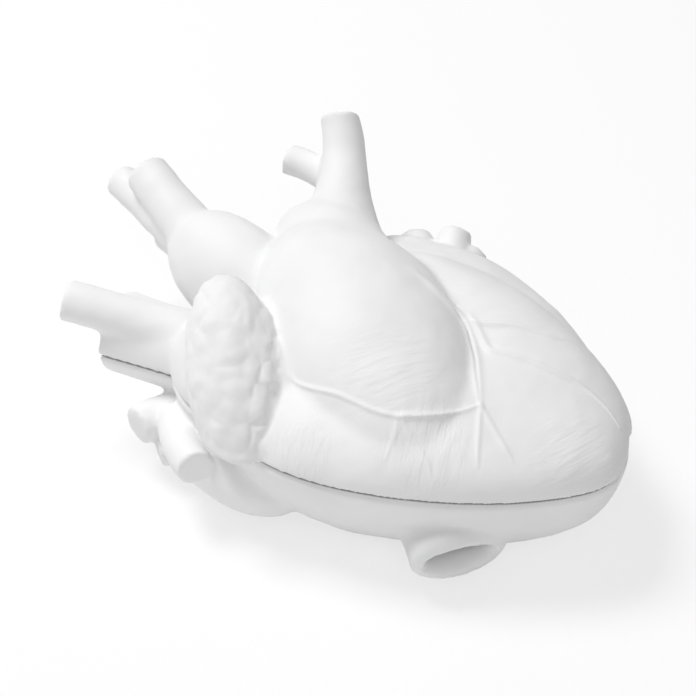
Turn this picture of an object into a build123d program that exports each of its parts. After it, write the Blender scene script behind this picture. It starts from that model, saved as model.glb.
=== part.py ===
from build123d import *
import os
from math import cos, degrees, pi, radians, sin, sqrt

os.makedirs("parts", exist_ok=True)

# A porcelain box in the form of a heart lying on its back. Its lid lifts off,
# and a cylinder musical movement stands in the base, wound by a key underneath.
# X points to the heart's left side, Y towards the great vessels, Z up, in mm.

# ------------------------------------------------------------ case sizes
HEART_X = 2.0  # centre line of the seam outline
HEART_Y = -34.0  # station where the seam outline turns from base to apex
HALF_LENGTH = 68.0  # seam outline, from that station to the apex
HALF_WIDTH = 56.0  # seam outline, across that station
APEX_TAPER = 0.34  # share by which the outline narrows towards the apex
SEAM_Z = 36.0  # height of the joint between lid and base
BOWL_DEPTH = 46.0  # depth of the base's curve if it ran on to a point
DOME_RISE = 22.0  # rise of the lid's underlying dome above the seam
WALL = 5.0  # porcelain thickness
FLOOR_THICK = 4.8  # porcelain under the moat round the dais
PAD_THICK = 1.2  # felt pads under the foot
PAD_WIDTH = 8.0
PAD_LENGTH = 32.0
LIP_HEIGHT = 2.4  # locating lip on the base's rim
LIP_THICK = 2.0
LIP_CLEARANCE = 0.5  # between that lip and the lid's rebate
VESSEL_EDGE = 0.8  # eased edge on the cut ends of the vessels
MOUTH_WALL = 3.6  # wall of the open lower vein
MOUTH_DEPTH = 20.0  # depth of its hollow

# ------------------------------------------------------------ dais and recess
DAIS_X = 0.75  # middle of the raised floor that carries the movement
DAIS_Y = -31.0
DAIS_WIDTH = 58.0
DAIS_LENGTH = 63.0
DAIS_CORNER = 14.0
DAIS_WALL = 4.5  # between the key recess and the moat
DAIS_TOP = 18.0
DAIS_THICK = 4.0

# ------------------------------------------------------------ movement sizes
BARREL_X = -2.0  # vertical axis of the spring barrel
BARREL_Y = -18.0
BED_THICK = 2.5
BED_LENGTH = 54.0
BED_WIDTH = 49.0
BED_CORNER = 3.0
RUNNING = 0.05  # radial clearance of every turning fit
SEAT_GAP = 0.02  # radial clearance of parts that are fixed together
END_PLAY = 0.3  # axial clearance of the turning parts

CLUTCH_HEIGHT = 2.4  # wrap spring round the winding arbor
CLUTCH_WIRE = 0.7
ARBOR_RADIUS = 1.6
HUB_RADIUS = 3.2  # of the arbor inside the mainspring

GEAR_MODULE = 0.65
BARREL_TEETH = 36
PINION_TEETH = 12
WHEEL_TEETH = 27
IDLER_TEETH = 9
TOOTH_SHARE = 0.34  # tooth thickness as a share of the pitch
CROWN_WIDTH = 2.0  # radial width of the barrel's face teeth
BARREL_HEIGHT = 6.5
BARREL_PLATE = 1.2
COVER_THICK = 0.9
SPRING_THICK = 0.35
SPRING_TURNS = 4

CYLINDER_RADIUS = 6.5
CYLINDER_LENGTH = 19.0
PIN_HEIGHT = 0.7
PIN_WIDTH = 0.36
SHAFT_RADIUS = 0.9
WHEEL_THICK = 1.5
BEARING_THICK = 1.5

NOTE_COUNT = 18
NOTE_GAP = 0.25  # slot between two comb teeth
COMB_THICK = 1.0
TOOTH_LENGTH = 11.0
COMB_BAR = 8.0
TIP_CLEARANCE = 0.15  # comb tips stand clear of the pins

WORM_MODULE = 0.5
WORM_WHEEL_TEETH = 16
WORM_RADIUS = 1.5
WORM_LENGTH = 5.0
FAN_RADIUS = 5.4
FAN_HEIGHT = 4.0

MOUNT_SCREW_RADIUS = 1.5
MOUNT_HEAD_RADIUS = 2.8
MOUNT_HEAD_HEIGHT = 1.6
MOUNT_INSET = 4.5  # from the recess's sides
MOUNT_SPREAD = 11.0  # from the barrel's axis, clear of the key

KEY_HALF_WIDTH = 10.5
KEY_THICK = 1.8
KEY_HUB_RADIUS = 3.2
KEY_GROUND_GAP = 2.0  # between the key's wings and the table

# ------------------------------------------------------------ derived places
FOOT_Z = PAD_THICK
RECESS_TOP = DAIS_TOP - DAIS_THICK
BED_TOP = DAIS_TOP + BED_THICK
BARREL_BASE = BED_TOP + CLUTCH_HEIGHT + 2 * END_PLAY
BARREL_TOP = BARREL_BASE + BARREL_HEIGHT
CROWN_TIP = BARREL_TOP + 2.1 * GEAR_MODULE
CROWN_RADIUS = GEAR_MODULE * BARREL_TEETH / 2
BARREL_RADIUS = CROWN_RADIUS + CROWN_WIDTH / 2
PINION_RADIUS = GEAR_MODULE * PINION_TEETH / 2
WHEEL_RADIUS = GEAR_MODULE * WHEEL_TEETH / 2
IDLER_RADIUS = GEAR_MODULE * IDLER_TEETH / 2
AXIS_Z = CROWN_TIP - GEAR_MODULE + PINION_RADIUS  # height of the cylinder's axis

PINION_START = CROWN_RADIUS - CROWN_WIDTH / 2 - 0.2  # distances along the cylinder's
PINION_LENGTH = CROWN_WIDTH + 1.2  # axis, from the barrel's axis towards the apex
CYLINDER_START = PINION_START + PINION_LENGTH + END_PLAY
CYLINDER_END = CYLINDER_START + CYLINDER_LENGTH
WHEEL_START = CYLINDER_END + 1.0
WHEEL_END = WHEEL_START + WHEEL_THICK
END_BEARING = WHEEL_END + END_PLAY + 0.5
INNER_BEARING = PINION_START - END_PLAY - BEARING_THICK

IDLER_DROP = radians(30)  # slope from the cylinder's axis down to the idler's
GEAR_CENTRES = WHEEL_RADIUS + IDLER_RADIUS
IDLER_X = BARREL_X - GEAR_CENTRES * cos(IDLER_DROP)
IDLER_Z = AXIS_Z - GEAR_CENTRES * sin(IDLER_DROP)
WORM_WHEEL_RADIUS = WORM_MODULE * WORM_WHEEL_TEETH / 2
WORM_X = IDLER_X - WORM_WHEEL_RADIUS - WORM_RADIUS
GOVERNOR_PLATE = CYLINDER_START + 5.0  # station of the governor bracket's plate
WORM_STATION = GOVERNOR_PLATE + BEARING_THICK + FAN_RADIUS + 0.4
TOP_ARM_Z = AXIS_Z + CYLINDER_RADIUS + 0.8
BRACKET_FOOT = 2.0
BED_RIGHT = BARREL_X + CYLINDER_RADIUS + PIN_HEIGHT + TIP_CLEARANCE + TOOTH_LENGTH + COMB_BAR + 0.5
BED_NEAR = BARREL_Y + BARREL_RADIUS + 1.3

KEY_ARBOR_END = RECESS_TOP - 6.5
RECESS_HALF_WIDTH = DAIS_WIDTH / 2 - DAIS_WALL
RECESS_HALF_LENGTH = DAIS_LENGTH / 2 - DAIS_WALL
MOUNT_PLACES = [
    (DAIS_X + RECESS_HALF_WIDTH - MOUNT_INSET, BARREL_Y - MOUNT_SPREAD),
    (DAIS_X - RECESS_HALF_WIDTH + MOUNT_INSET, BARREL_Y - MOUNT_SPREAD),
    (BARREL_X + MOUNT_SPREAD, DAIS_Y - RECESS_HALF_LENGTH + MOUNT_INSET),
]
PAD_SIDE = RECESS_HALF_LENGTH + PAD_WIDTH / 2 + 2.0  # beyond the recess
PAD_PLACES = [(DAIS_X, DAIS_Y + PAD_SIDE), (HEART_X, DAIS_Y - PAD_SIDE)]


def station(distance):
    """Y of a point at that distance from the barrel's axis towards the apex."""
    return BARREL_Y - distance


def seam_points(inset, shrink=1.0):
    """Points of the case's closed egg-shaped outline, drawn in by inset."""
    points = []
    for step in range(14):
        turn = 2 * pi * step / 14
        half_width = (HALF_WIDTH - inset) * (1 - APEX_TAPER * cos(turn))
        x = HEART_X + shrink * half_width * sin(turn)
        y = HEART_Y - shrink * (HALF_LENGTH - inset) * cos(turn)
        points.append((x, y))
    return points


def hull(depth, levels, inset=0.0):
    """Solid through level sections of the case, with flanks curved like a bowl."""
    with BuildPart() as body:
        for level in levels:
            shrink = sqrt(1 - (level / (depth - inset)) ** 2)
            with BuildSketch(Plane.XY.offset(SEAM_Z + level)):
                with BuildLine():
                    Spline(*seam_points(inset, shrink), periodic=True)
                make_face()
        loft()
    return body.part


def dome(inset=0.0):
    """Underlying dome of the lid, above the seam."""
    rise = DOME_RISE - inset
    levels = [rise * share for share in (0, 0.3, 0.56, 0.78, 0.93)]
    return hull(DOME_RISE, levels, inset)


def bowl(bottom, inset=0.0):
    """Bowl of the base, from the seam down to the given height."""
    levels = [(bottom - SEAM_Z) * share for share in (0, 0.3, 0.58, 0.82, 1)]
    return hull(BOWL_DEPTH, levels, inset)


def lobe(centre, axis, side, half_sizes, inset=0.0):
    """Ellipsoid with its half sizes along its axis, along side and across both."""
    with BuildPart() as egg:
        Sphere(1)
        scale(by=tuple(half - inset for half in half_sizes))
    along = Vector(*axis).normalized()
    across = Vector(*side)
    across = (across - along * across.dot(along)).normalized()
    place = Plane(origin=centre, x_dir=along, z_dir=along.cross(across))
    return egg.part.moved(place.location)


def vessel(points, radii, squash=1.0, end_edge=0.0):
    """Tube through the points, round or flattened, its far end eased if asked."""
    path = [Vector(*point) for point in points]
    with BuildPart() as tube:
        for index, point in enumerate(path):
            ahead = path[min(index + 1, len(path) - 1)]
            behind = path[max(index - 1, 0)]
            heading = (ahead - behind).normalized()
            level = heading.cross(Vector(0, 0, 1))
            with BuildSketch(Plane(origin=point, x_dir=level, z_dir=heading)):
                Ellipse(radii[index], radii[index] * squash)
        loft()
        if end_edge:
            end = tube.faces().sort_by_distance(path[-1])[0]
            chamfer(end.edges(), end_edge)
    return tube.part


# ------------------------------------------------------------ heart forms
# Each form is stated once and shared by the lid, the base and their hollows.
RIGHT_VENTRICLE = ((-7, -18, 46), (-0.5, -1, -0.25), (1, -0.5, 0), (52, 31, 27))
LEFT_VENTRICLE = ((19, -44, 35.5), (-0.12, -1, -0.14), (1, 0, 0), (55.5, 26, 25.5))
CONUS = ((16, 11, 51), (0.4, 1, 0.12), (1, -0.4, 0), (29, 19, 18))
RIGHT_ATRIUM = ((-30, 8, 36), (0, 1, 0), (1, 0, 0), (30, 22, 24))
LEFT_ATRIUM = ((44, -2, 36), (0, 1, 0), (1, 0, 0), (24, 14, 12))
AURICLE = ((-42.5, 5.5, 48), (-0.5, -0.55, -0.66), (1, -0.9, 0), (32, 15, 15))
AORTA = ((-2, 40, 46), (0.15, 1, 0.1), (1, 0, 0), (28, 16, 19))
VEIN_ROOT = ((-45, 6, 16), (0.1, 1, 0), (1, 0, 0), (28, 14, 13))

UPPER_CAVA = [(-27, 20, 34.2), (-33.5, 45, 35.8), (-37, 60, 36.3)]
UPPER_CAVA_RADII = [13.6, 13.1, 13.3]
LOWER_CAVA = [(-18, -50, 19), (-28, -62, 16), (-35.5, -72.5, 14)]
LOWER_CAVA_RADII = [17, 14.5, 15.5]
LOWER_CAVA_SQUASH = 0.7

LID_VESSELS = [
    ([(-32, 38, 41.5), (-40, 52, 47), (-48, 70, 50.5)], [8.5, 7, 6.6]),
    ([(0, 52, 48), (5, 72, 55), (10, 88, 60)], [10, 8, 7.5]),
    ([(2, 60, 46), (8, 85, 48), (11, 102, 51)], [8, 6.5, 6]),
    ([(2, 58, 42), (6, 70, 40), (9, 79, 39)], [8, 6, 6]),
    ([(24, 17, 52), (34, 24, 57), (45, 31, 64), (56, 41, 77)], [16, 11.5, 8.2, 6.5]),
    ([(42, 27, 60), (45, 38, 60), (43, 53, 62)], [7, 5.8, 5.3]),
    ([(46, 0, 36), (58, 10, 38)], [8, 6]),
    ([(50, -8, 36), (64, -2, 43)], [8, 5.5]),
    ([(50, -12, 36), (63, -10, 37.5)], [8, 5.5]),
]
BASE_VESSELS = [
    ([(-38, 26, 20), (-48, 35, 20), (-55, 37, 20)], [7, 6.5, 6.5]),
    ([(-46, 28, 22), (-56, 17, 24), (-62, 6, 25)], [6.5, 6, 6]),
    ([(-40, 22, 14), (-54, 30, 12)], [6.5, 5]),
]

STOP_TAB_SIZE = (5.0, 7.0, 3.0)  # in the lid, over the stop lever
AORTA_ROOT_Y = 37.0  # the aorta hangs free of the seam beyond this station
CAVA_SIDE_X = -16.5  # the upper vein is parted at the seam up to here
OUTSIDE = 150.0  # reach of a cutting block past the case

# ------------------------------------------------------------ lid
LEVER_THICK = 1.0
LEVER_HEIGHT = 2.4
LEVER_REACH = 17.0
LEVER_PIVOT_X = WORM_X - FAN_RADIUS - 3.6
LEVER_STATION = GOVERNOR_PLATE + BEARING_THICK + 0.1
LEVER_Z = SEAM_Z + LIP_HEIGHT + 1.4
TAB_GAP = 0.3
TAB_X = LEVER_PIVOT_X - LEVER_REACH

lid_forms = [lobe(*RIGHT_VENTRICLE), lobe(*LEFT_VENTRICLE), lobe(*CONUS)]
lid_forms += [lobe(*RIGHT_ATRIUM), lobe(*LEFT_ATRIUM), lobe(*AURICLE), lobe(*AORTA)]
lid_forms.append(vessel(UPPER_CAVA, UPPER_CAVA_RADII, end_edge=VESSEL_EDGE))
lid_forms += [vessel(points, radii) for points, radii in LID_VESSELS]
lid_hollows = [dome(WALL), lobe(*RIGHT_VENTRICLE, inset=WALL), lobe(*LEFT_VENTRICLE, inset=WALL)]

with BuildPart() as lid:
    add(dome())
    for form in lid_forms:
        add(form)
    # parted at the seam, but the aorta keeps its round underside
    with Locations((0, AORTA_ROOT_Y, SEAM_Z)):
        below = (Align.CENTER, Align.MAX, Align.MAX)
        Box(2 * OUTSIDE, 2 * OUTSIDE, OUTSIDE, align=below, mode=Mode.SUBTRACT)
    with Locations((CAVA_SIDE_X, 0, SEAM_Z)):
        beside = (Align.MAX, Align.CENTER, Align.MAX)
        Box(OUTSIDE, 2 * OUTSIDE, OUTSIDE, align=beside, mode=Mode.SUBTRACT)
    for hollow in lid_hollows:
        add(hollow, mode=Mode.SUBTRACT)
    # rebate over the base's locating lip
    with BuildSketch(Plane.XY.offset(SEAM_Z)):
        with BuildLine():
            Spline(*seam_points(WALL - LIP_THICK - LIP_CLEARANCE), periodic=True)
        make_face()
    extrude(amount=LIP_HEIGHT + LIP_CLEARANCE, mode=Mode.SUBTRACT)
    # tab that presses the stop lever while the lid is on
    with BuildSketch(Plane.XY.offset(LEVER_Z + LEVER_HEIGHT / 2 + TAB_GAP)):
        with Locations((TAB_X + 1, station(LEVER_STATION))):
            Rectangle(STOP_TAB_SIZE[0], STOP_TAB_SIZE[1], align=(Align.MAX, Align.CENTER))
    extrude(amount=STOP_TAB_SIZE[2])
lid.part.label = "lid"
export_step(lid.part, "parts/lid.step")

# ------------------------------------------------------------ base
base_forms = [lobe(*RIGHT_ATRIUM), lobe(*LEFT_ATRIUM), lobe(*VEIN_ROOT)]
base_forms.append(vessel(UPPER_CAVA, UPPER_CAVA_RADII, end_edge=VESSEL_EDGE))
base_forms.append(vessel(LOWER_CAVA, LOWER_CAVA_RADII, LOWER_CAVA_SQUASH, 1.4))
base_forms += [vessel(points, radii) for points, radii in BASE_VESSELS]
mouth_run = (Vector(*LOWER_CAVA[-1]) - Vector(*LOWER_CAVA[-2])).normalized()
mouth_plane = Plane(
    origin=Vector(*LOWER_CAVA[-1]),
    x_dir=mouth_run.cross(Vector(0, 0, 1)),
    z_dir=mouth_run,
)

mouth_sections = [(1.0, 1.2), (-1.5, 0.0), (-MOUTH_DEPTH, -2.0)]

with BuildPart() as base:
    add(bowl(FOOT_Z))
    for form in base_forms:
        add(form)
    split(bisect_by=Plane.XY.offset(SEAM_Z), keep=Keep.BOTTOM)
    add(bowl(FOOT_Z + FLOOR_THICK, WALL), mode=Mode.SUBTRACT)
    # the open vein runs through the wall into the case
    for ahead, flare in mouth_sections:
        with BuildSketch(mouth_plane.offset(ahead)):
            mouth_width = LOWER_CAVA_RADII[-1] - MOUTH_WALL + flare
            mouth_height = LOWER_CAVA_RADII[-1] * LOWER_CAVA_SQUASH - MOUTH_WALL + flare
            Ellipse(mouth_width, mouth_height)
    loft(mode=Mode.SUBTRACT)
    # locating lip inside the rim
    with BuildSketch(Plane.XY.offset(SEAM_Z)):
        with BuildLine():
            Spline(*seam_points(WALL - LIP_THICK), periodic=True)
        make_face()
        with BuildLine():
            Spline(*seam_points(WALL - 0.2), periodic=True)
        make_face(mode=Mode.SUBTRACT)
    extrude(amount=LIP_HEIGHT)
    # raised dais under the movement, and the key's recess below it
    with BuildSketch(Plane.XY.offset(FOOT_Z + FLOOR_THICK - 1)):
        with Locations((DAIS_X, DAIS_Y)):
            RectangleRounded(DAIS_WIDTH, DAIS_LENGTH, DAIS_CORNER)
    extrude(amount=DAIS_TOP - FOOT_Z - FLOOR_THICK + 1)
    with BuildSketch(Plane.XY):
        with Locations((DAIS_X, DAIS_Y)):
            RectangleRounded(
                2 * RECESS_HALF_WIDTH, 2 * RECESS_HALF_LENGTH, DAIS_CORNER - DAIS_WALL
            )
    extrude(amount=RECESS_TOP, mode=Mode.SUBTRACT)
    # holes for the winding arbor and the three mounting screws
    with Locations((BARREL_X, BARREL_Y, DAIS_TOP)):
        Hole(ARBOR_RADIUS + 2.4, DAIS_THICK + 1)
    with Locations(*[(x, y, DAIS_TOP) for x, y in MOUNT_PLACES]):
        Hole(MOUNT_SCREW_RADIUS + 0.3, DAIS_THICK + 1)
base.part.label = "base"
export_step(base.part, "parts/base.step")

with BuildPart() as foot_pads:
    with BuildSketch():
        with Locations(*PAD_PLACES):
            Rectangle(PAD_LENGTH, PAD_WIDTH)
    extrude(amount=PAD_THICK)
foot_pads.part.label = "foot_pads"
export_step(foot_pads.part, "parts/foot_pads.step")


# ------------------------------------------------------------ movement helpers
def gear_outline(teeth, module):
    """Outline of a spur gear with straight, tapered teeth, the first along +X."""
    pitch_radius = module * teeth / 2
    root = pitch_radius - 1.15 * module
    tip = pitch_radius + 0.85 * module
    half = TOOTH_SHARE * pi * module / 2
    root_half = 1.35 * half / root
    tip_half = 0.6 * half / tip
    points = []
    for tooth in range(teeth):
        middle = 2 * pi * tooth / teeth
        for radius, turn in [(root, -root_half), (tip, -tip_half), (tip, tip_half), (root, root_half)]:
            points.append((radius * cos(middle + turn), radius * sin(middle + turn)))
    return points


def across(distance, x=BARREL_X, z=AXIS_Z, tooth=0.0):
    """Plane square to the cylinder's axis that faces the apex, turned by tooth."""
    facing = Vector(cos(radians(tooth)), 0, sin(radians(tooth)))
    return Plane(origin=(x, station(distance), z), x_dir=facing, z_dir=(0, -1, 0))


# ------------------------------------------------------------ bedplate
COMB_SEAT_Z = AXIS_Z - COMB_THICK / 2
COMB_TIP_X = BARREL_X + CYLINDER_RADIUS + PIN_HEIGHT + TIP_CLEARANCE
COMB_ROOT_X = COMB_TIP_X + TOOTH_LENGTH
COMB_MID = (CYLINDER_START + CYLINDER_END) / 2
THREAD_DEPTH = BED_THICK - 0.5  # blind holes for the mounting screws

with BuildPart() as bedplate:
    with BuildSketch(Plane.XY.offset(DAIS_TOP)):
        with Locations((BED_RIGHT, BED_NEAR)):
            RectangleRounded(BED_WIDTH, BED_LENGTH, BED_CORNER, align=(Align.MAX, Align.MAX))
    extrude(amount=BED_THICK)
    # riser that lifts the comb to the cylinder's axis
    with BuildSketch(Plane.XY.offset(DAIS_TOP)):
        with Locations((COMB_ROOT_X, station(COMB_MID))):
            Rectangle(COMB_BAR, CYLINDER_LENGTH + 2, align=(Align.MIN, Align.CENTER))
    extrude(amount=COMB_SEAT_Z - DAIS_TOP)
    with Locations((BARREL_X, BARREL_Y, BED_TOP)):
        Hole(ARBOR_RADIUS + RUNNING, BED_THICK)
    with BuildSketch(Plane.XY.offset(DAIS_TOP)):
        with Locations(*MOUNT_PLACES):
            Circle(MOUNT_SCREW_RADIUS + SEAT_GAP)
    extrude(amount=THREAD_DEPTH, mode=Mode.SUBTRACT)
bedplate.part.label = "bedplate"
export_step(bedplate.part, "parts/bedplate.step")

with BuildPart() as mounting_screws:
    with BuildSketch(Plane.XY.offset(RECESS_TOP - MOUNT_HEAD_HEIGHT)):
        with Locations(*MOUNT_PLACES):
            Circle(MOUNT_HEAD_RADIUS)
    extrude(amount=MOUNT_HEAD_HEIGHT)
    with BuildSketch(Plane.XY.offset(RECESS_TOP)):
        with Locations(*MOUNT_PLACES):
            Circle(MOUNT_SCREW_RADIUS)
    extrude(amount=DAIS_THICK + THREAD_DEPTH - 0.1)
mounting_screws.part.label = "mounting_screws"
export_step(mounting_screws.part, "parts/mounting_screws.step")

# ------------------------------------------------------------ comb
NOTE_PITCH = (CYLINDER_LENGTH - 1.0) / NOTE_COUNT

with BuildPart() as comb:
    with BuildSketch(Plane.XY.offset(COMB_SEAT_Z)):
        with Locations((COMB_TIP_X, station(COMB_MID))):
            Rectangle(
                TOOTH_LENGTH + COMB_BAR, NOTE_COUNT * NOTE_PITCH, align=(Align.MIN, Align.CENTER)
            )
        # the slots get shorter from the bass end to the treble end
        for note in range(1, NOTE_COUNT):
            slot_length = TOOTH_LENGTH * (1 - 0.35 * note / NOTE_COUNT)
            slot_y = station(COMB_MID) + NOTE_PITCH * (note - NOTE_COUNT / 2)
            with Locations((COMB_TIP_X - 0.1, slot_y)):
                Rectangle(
                    slot_length, NOTE_GAP, align=(Align.MIN, Align.CENTER), mode=Mode.SUBTRACT
                )
    extrude(amount=COMB_THICK)
comb.part.label = "comb"
export_step(comb.part, "parts/comb.step")

# ------------------------------------------------------------ pinned cylinder
PIN_STEPS = 27  # beats round the cylinder

with BuildPart() as cylinder:
    with BuildSketch(across(CYLINDER_START)):
        Circle(CYLINDER_RADIUS)
        Circle(SHAFT_RADIUS + SEAT_GAP, mode=Mode.SUBTRACT)
    extrude(amount=CYLINDER_LENGTH)
    # two voices that wander up and down the scale, one pin to a beat each
    for beat in range(PIN_STEPS):
        notes = {(7 * beat + beat * beat // 3) % NOTE_COUNT, (5 * beat + 4) % NOTE_COUNT}
        for note in notes:
            place = across(CYLINDER_START + 0.5 + NOTE_PITCH * (note + 0.5))
            bearing = 360 * (beat + 0.5) / PIN_STEPS
            spot = place.location * Rot(0, 0, bearing) * Pos(CYLINDER_RADIUS - 0.2, 0, 0)
            with Locations(spot):
                Box(
                    PIN_HEIGHT + 0.2, PIN_WIDTH, PIN_WIDTH,
                    align=(Align.MIN, Align.CENTER, Align.CENTER),
                )
cylinder.part.label = "cylinder"
export_step(cylinder.part, "parts/cylinder.step")

# the pinion's leaves are cut on the arbor, one of them straight down
with BuildPart() as cylinder_arbor:
    with BuildSketch(across(INNER_BEARING)):
        Circle(SHAFT_RADIUS)
    extrude(amount=END_BEARING + BEARING_THICK + 0.4 - INNER_BEARING)
    with BuildSketch(across(PINION_START, tooth=-90)):
        Polygon(*gear_outline(PINION_TEETH, GEAR_MODULE), align=None)
    extrude(amount=PINION_LENGTH)
cylinder_arbor.part.label = "cylinder_arbor"
export_step(cylinder_arbor.part, "parts/cylinder_arbor.step")

# the wheel points a tooth at the idler, whose leaves point a gap back
MESH_ANGLE = 180 + degrees(IDLER_DROP)

with BuildPart() as cylinder_wheel:
    with BuildSketch(across(WHEEL_START, tooth=MESH_ANGLE)):
        Polygon(*gear_outline(WHEEL_TEETH, GEAR_MODULE), align=None)
        Circle(SHAFT_RADIUS + SEAT_GAP, mode=Mode.SUBTRACT)
    extrude(amount=WHEEL_THICK)
cylinder_wheel.part.label = "cylinder_wheel"
export_step(cylinder_wheel.part, "parts/cylinder_wheel.step")

# ------------------------------------------------------------ end bracket
END_FOOT = 6.0
END_WIDTH = 18.0
END_SIDE_X = BARREL_X + 5.5

with BuildPart() as end_bracket:
    with BuildSketch(Plane.XZ.offset(-station(END_BEARING))):
        with Locations((BARREL_X, AXIS_Z)):
            Circle(3.0)
        with Locations((IDLER_X, IDLER_Z)):
            Circle(2.6)
        with Locations((END_SIDE_X, BED_TOP)):
            Rectangle(END_WIDTH, 4.0, align=(Align.MAX, Align.MIN))
        make_hull()
    extrude(amount=BEARING_THICK)
    with BuildSketch(Plane.XY.offset(BED_TOP)):
        with Locations((END_SIDE_X, station(END_BEARING))):
            Rectangle(END_WIDTH, END_FOOT, align=(Align.MAX, Align.MIN))
    extrude(amount=BRACKET_FOOT)
    for shaft_x, shaft_z in [(BARREL_X, AXIS_Z), (IDLER_X, IDLER_Z)]:
        with BuildSketch(across(END_BEARING - 0.5, shaft_x, shaft_z)):
            Circle(SHAFT_RADIUS + RUNNING)
        extrude(amount=BEARING_THICK + 1, mode=Mode.SUBTRACT)
end_bracket.part.label = "end_bracket"
export_step(end_bracket.part, "parts/end_bracket.step")

# ------------------------------------------------------------ spring barrel
CROWN_MARGIN = 0.25  # of rim left inside and outside the face teeth

with BuildPart() as face_tooth:
    with BuildSketch(Plane.YZ.offset(CROWN_RADIUS - CROWN_WIDTH / 2 + CROWN_MARGIN)):
        tooth_half = TOOTH_SHARE * pi * GEAR_MODULE / 2
        Polygon(
            (-1.35 * tooth_half, BARREL_TOP - 0.2),
            (1.35 * tooth_half, BARREL_TOP - 0.2),
            (0.6 * tooth_half, CROWN_TIP),
            (-0.6 * tooth_half, CROWN_TIP),
            align=None,
        )
    extrude(amount=CROWN_WIDTH - 2 * CROWN_MARGIN)

with BuildPart() as spring_barrel:
    with BuildSketch(Plane.XY.offset(BARREL_BASE)):
        with Locations((BARREL_X, BARREL_Y)):
            Circle(BARREL_RADIUS)
    extrude(amount=BARREL_HEIGHT)
    with BuildSketch(Plane.XY.offset(BARREL_BASE + BARREL_PLATE)):
        with Locations((BARREL_X, BARREL_Y)):
            Circle(BARREL_RADIUS - CROWN_WIDTH)
    extrude(amount=BARREL_HEIGHT, mode=Mode.SUBTRACT)
    # half a tooth pitch of turn puts a gap under the pinion's lowest leaf
    with Locations(Location((BARREL_X, BARREL_Y, 0), (0, 0, -90 + 180 / BARREL_TEETH))):
        with PolarLocations(0, BARREL_TEETH):
            add(face_tooth.part)
    with Locations((BARREL_X, BARREL_Y, BARREL_BASE + BARREL_PLATE)):
        Hole(ARBOR_RADIUS + RUNNING, BARREL_PLATE)
spring_barrel.part.label = "spring_barrel"
export_step(spring_barrel.part, "parts/spring_barrel.step")

SPRING_ROOM = BARREL_RADIUS - CROWN_WIDTH
COVER_BASE = BARREL_TOP - COVER_THICK

with BuildPart() as barrel_cover:
    with BuildSketch(Plane.XY.offset(COVER_BASE)):
        with Locations((BARREL_X, BARREL_Y)):
            Circle(SPRING_ROOM - SEAT_GAP)
            Circle(ARBOR_RADIUS + RUNNING, mode=Mode.SUBTRACT)
    extrude(amount=COVER_THICK)
barrel_cover.part.label = "barrel_cover"
export_step(barrel_cover.part, "parts/barrel_cover.step")

# flat spiral from the arbor's hub to the barrel's wall
COIL_INNER = HUB_RADIUS + 0.2
COIL_OUTER = SPRING_ROOM - 0.15 - SPRING_THICK
COIL_STEPS = 12


def coil_points(extra):
    """Corners of the mainspring's spiral, moved out by extra."""
    points = []
    for step in range(SPRING_TURNS * COIL_STEPS + 1):
        share = step / (SPRING_TURNS * COIL_STEPS)
        turn = 2 * pi * step / COIL_STEPS
        radius = COIL_INNER + (COIL_OUTER - COIL_INNER) * share + extra
        points.append((BARREL_X + radius * cos(turn), BARREL_Y + radius * sin(turn)))
    return points


SPRING_BASE = BARREL_BASE + BARREL_PLATE + END_PLAY
SPRING_WIDTH = COVER_BASE - END_PLAY - SPRING_BASE

with BuildPart() as mainspring:
    with BuildSketch(Plane.XY.offset(SPRING_BASE)):
        Polygon(*coil_points(0), *reversed(coil_points(SPRING_THICK)), align=None)
    extrude(amount=SPRING_WIDTH)
mainspring.part.label = "mainspring"
export_step(mainspring.part, "parts/mainspring.step")

# ------------------------------------------------------------ winding arbor
BRIDGE_BASE = CROWN_TIP + 0.6
BRIDGE_THICK = 1.5
BRIDGE_HALF_WIDTH = 4.5
BRIDGE_LEG_X = BARREL_RADIUS + 1.4
BRIDGE_LEG = 4.2

with BuildPart() as winding_arbor:
    with BuildSketch(Plane.XY.offset(KEY_ARBOR_END)):
        with Locations((BARREL_X, BARREL_Y)):
            Circle(ARBOR_RADIUS)
    extrude(amount=BRIDGE_BASE + BRIDGE_THICK - KEY_ARBOR_END)
    with BuildSketch(Plane.XY.offset(SPRING_BASE)):
        with Locations((BARREL_X, BARREL_Y)):
            Circle(HUB_RADIUS)
    extrude(amount=SPRING_WIDTH)
winding_arbor.part.label = "winding_arbor"
export_step(winding_arbor.part, "parts/winding_arbor.step")

# closely wound spring that grips the arbor, so the key turns one way only
with BuildPart() as clutch_spring:
    with BuildSketch(Plane.XY.offset(BED_TOP)):
        with Locations((BARREL_X, BARREL_Y)):
            Circle(ARBOR_RADIUS + RUNNING + CLUTCH_WIRE)
            Circle(ARBOR_RADIUS + RUNNING, mode=Mode.SUBTRACT)
    extrude(amount=CLUTCH_HEIGHT)
clutch_spring.part.label = "clutch_spring"
export_step(clutch_spring.part, "parts/clutch_spring.step")

# ------------------------------------------------------------ barrel bridge
LUG_WIDTH = 5.2

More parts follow.
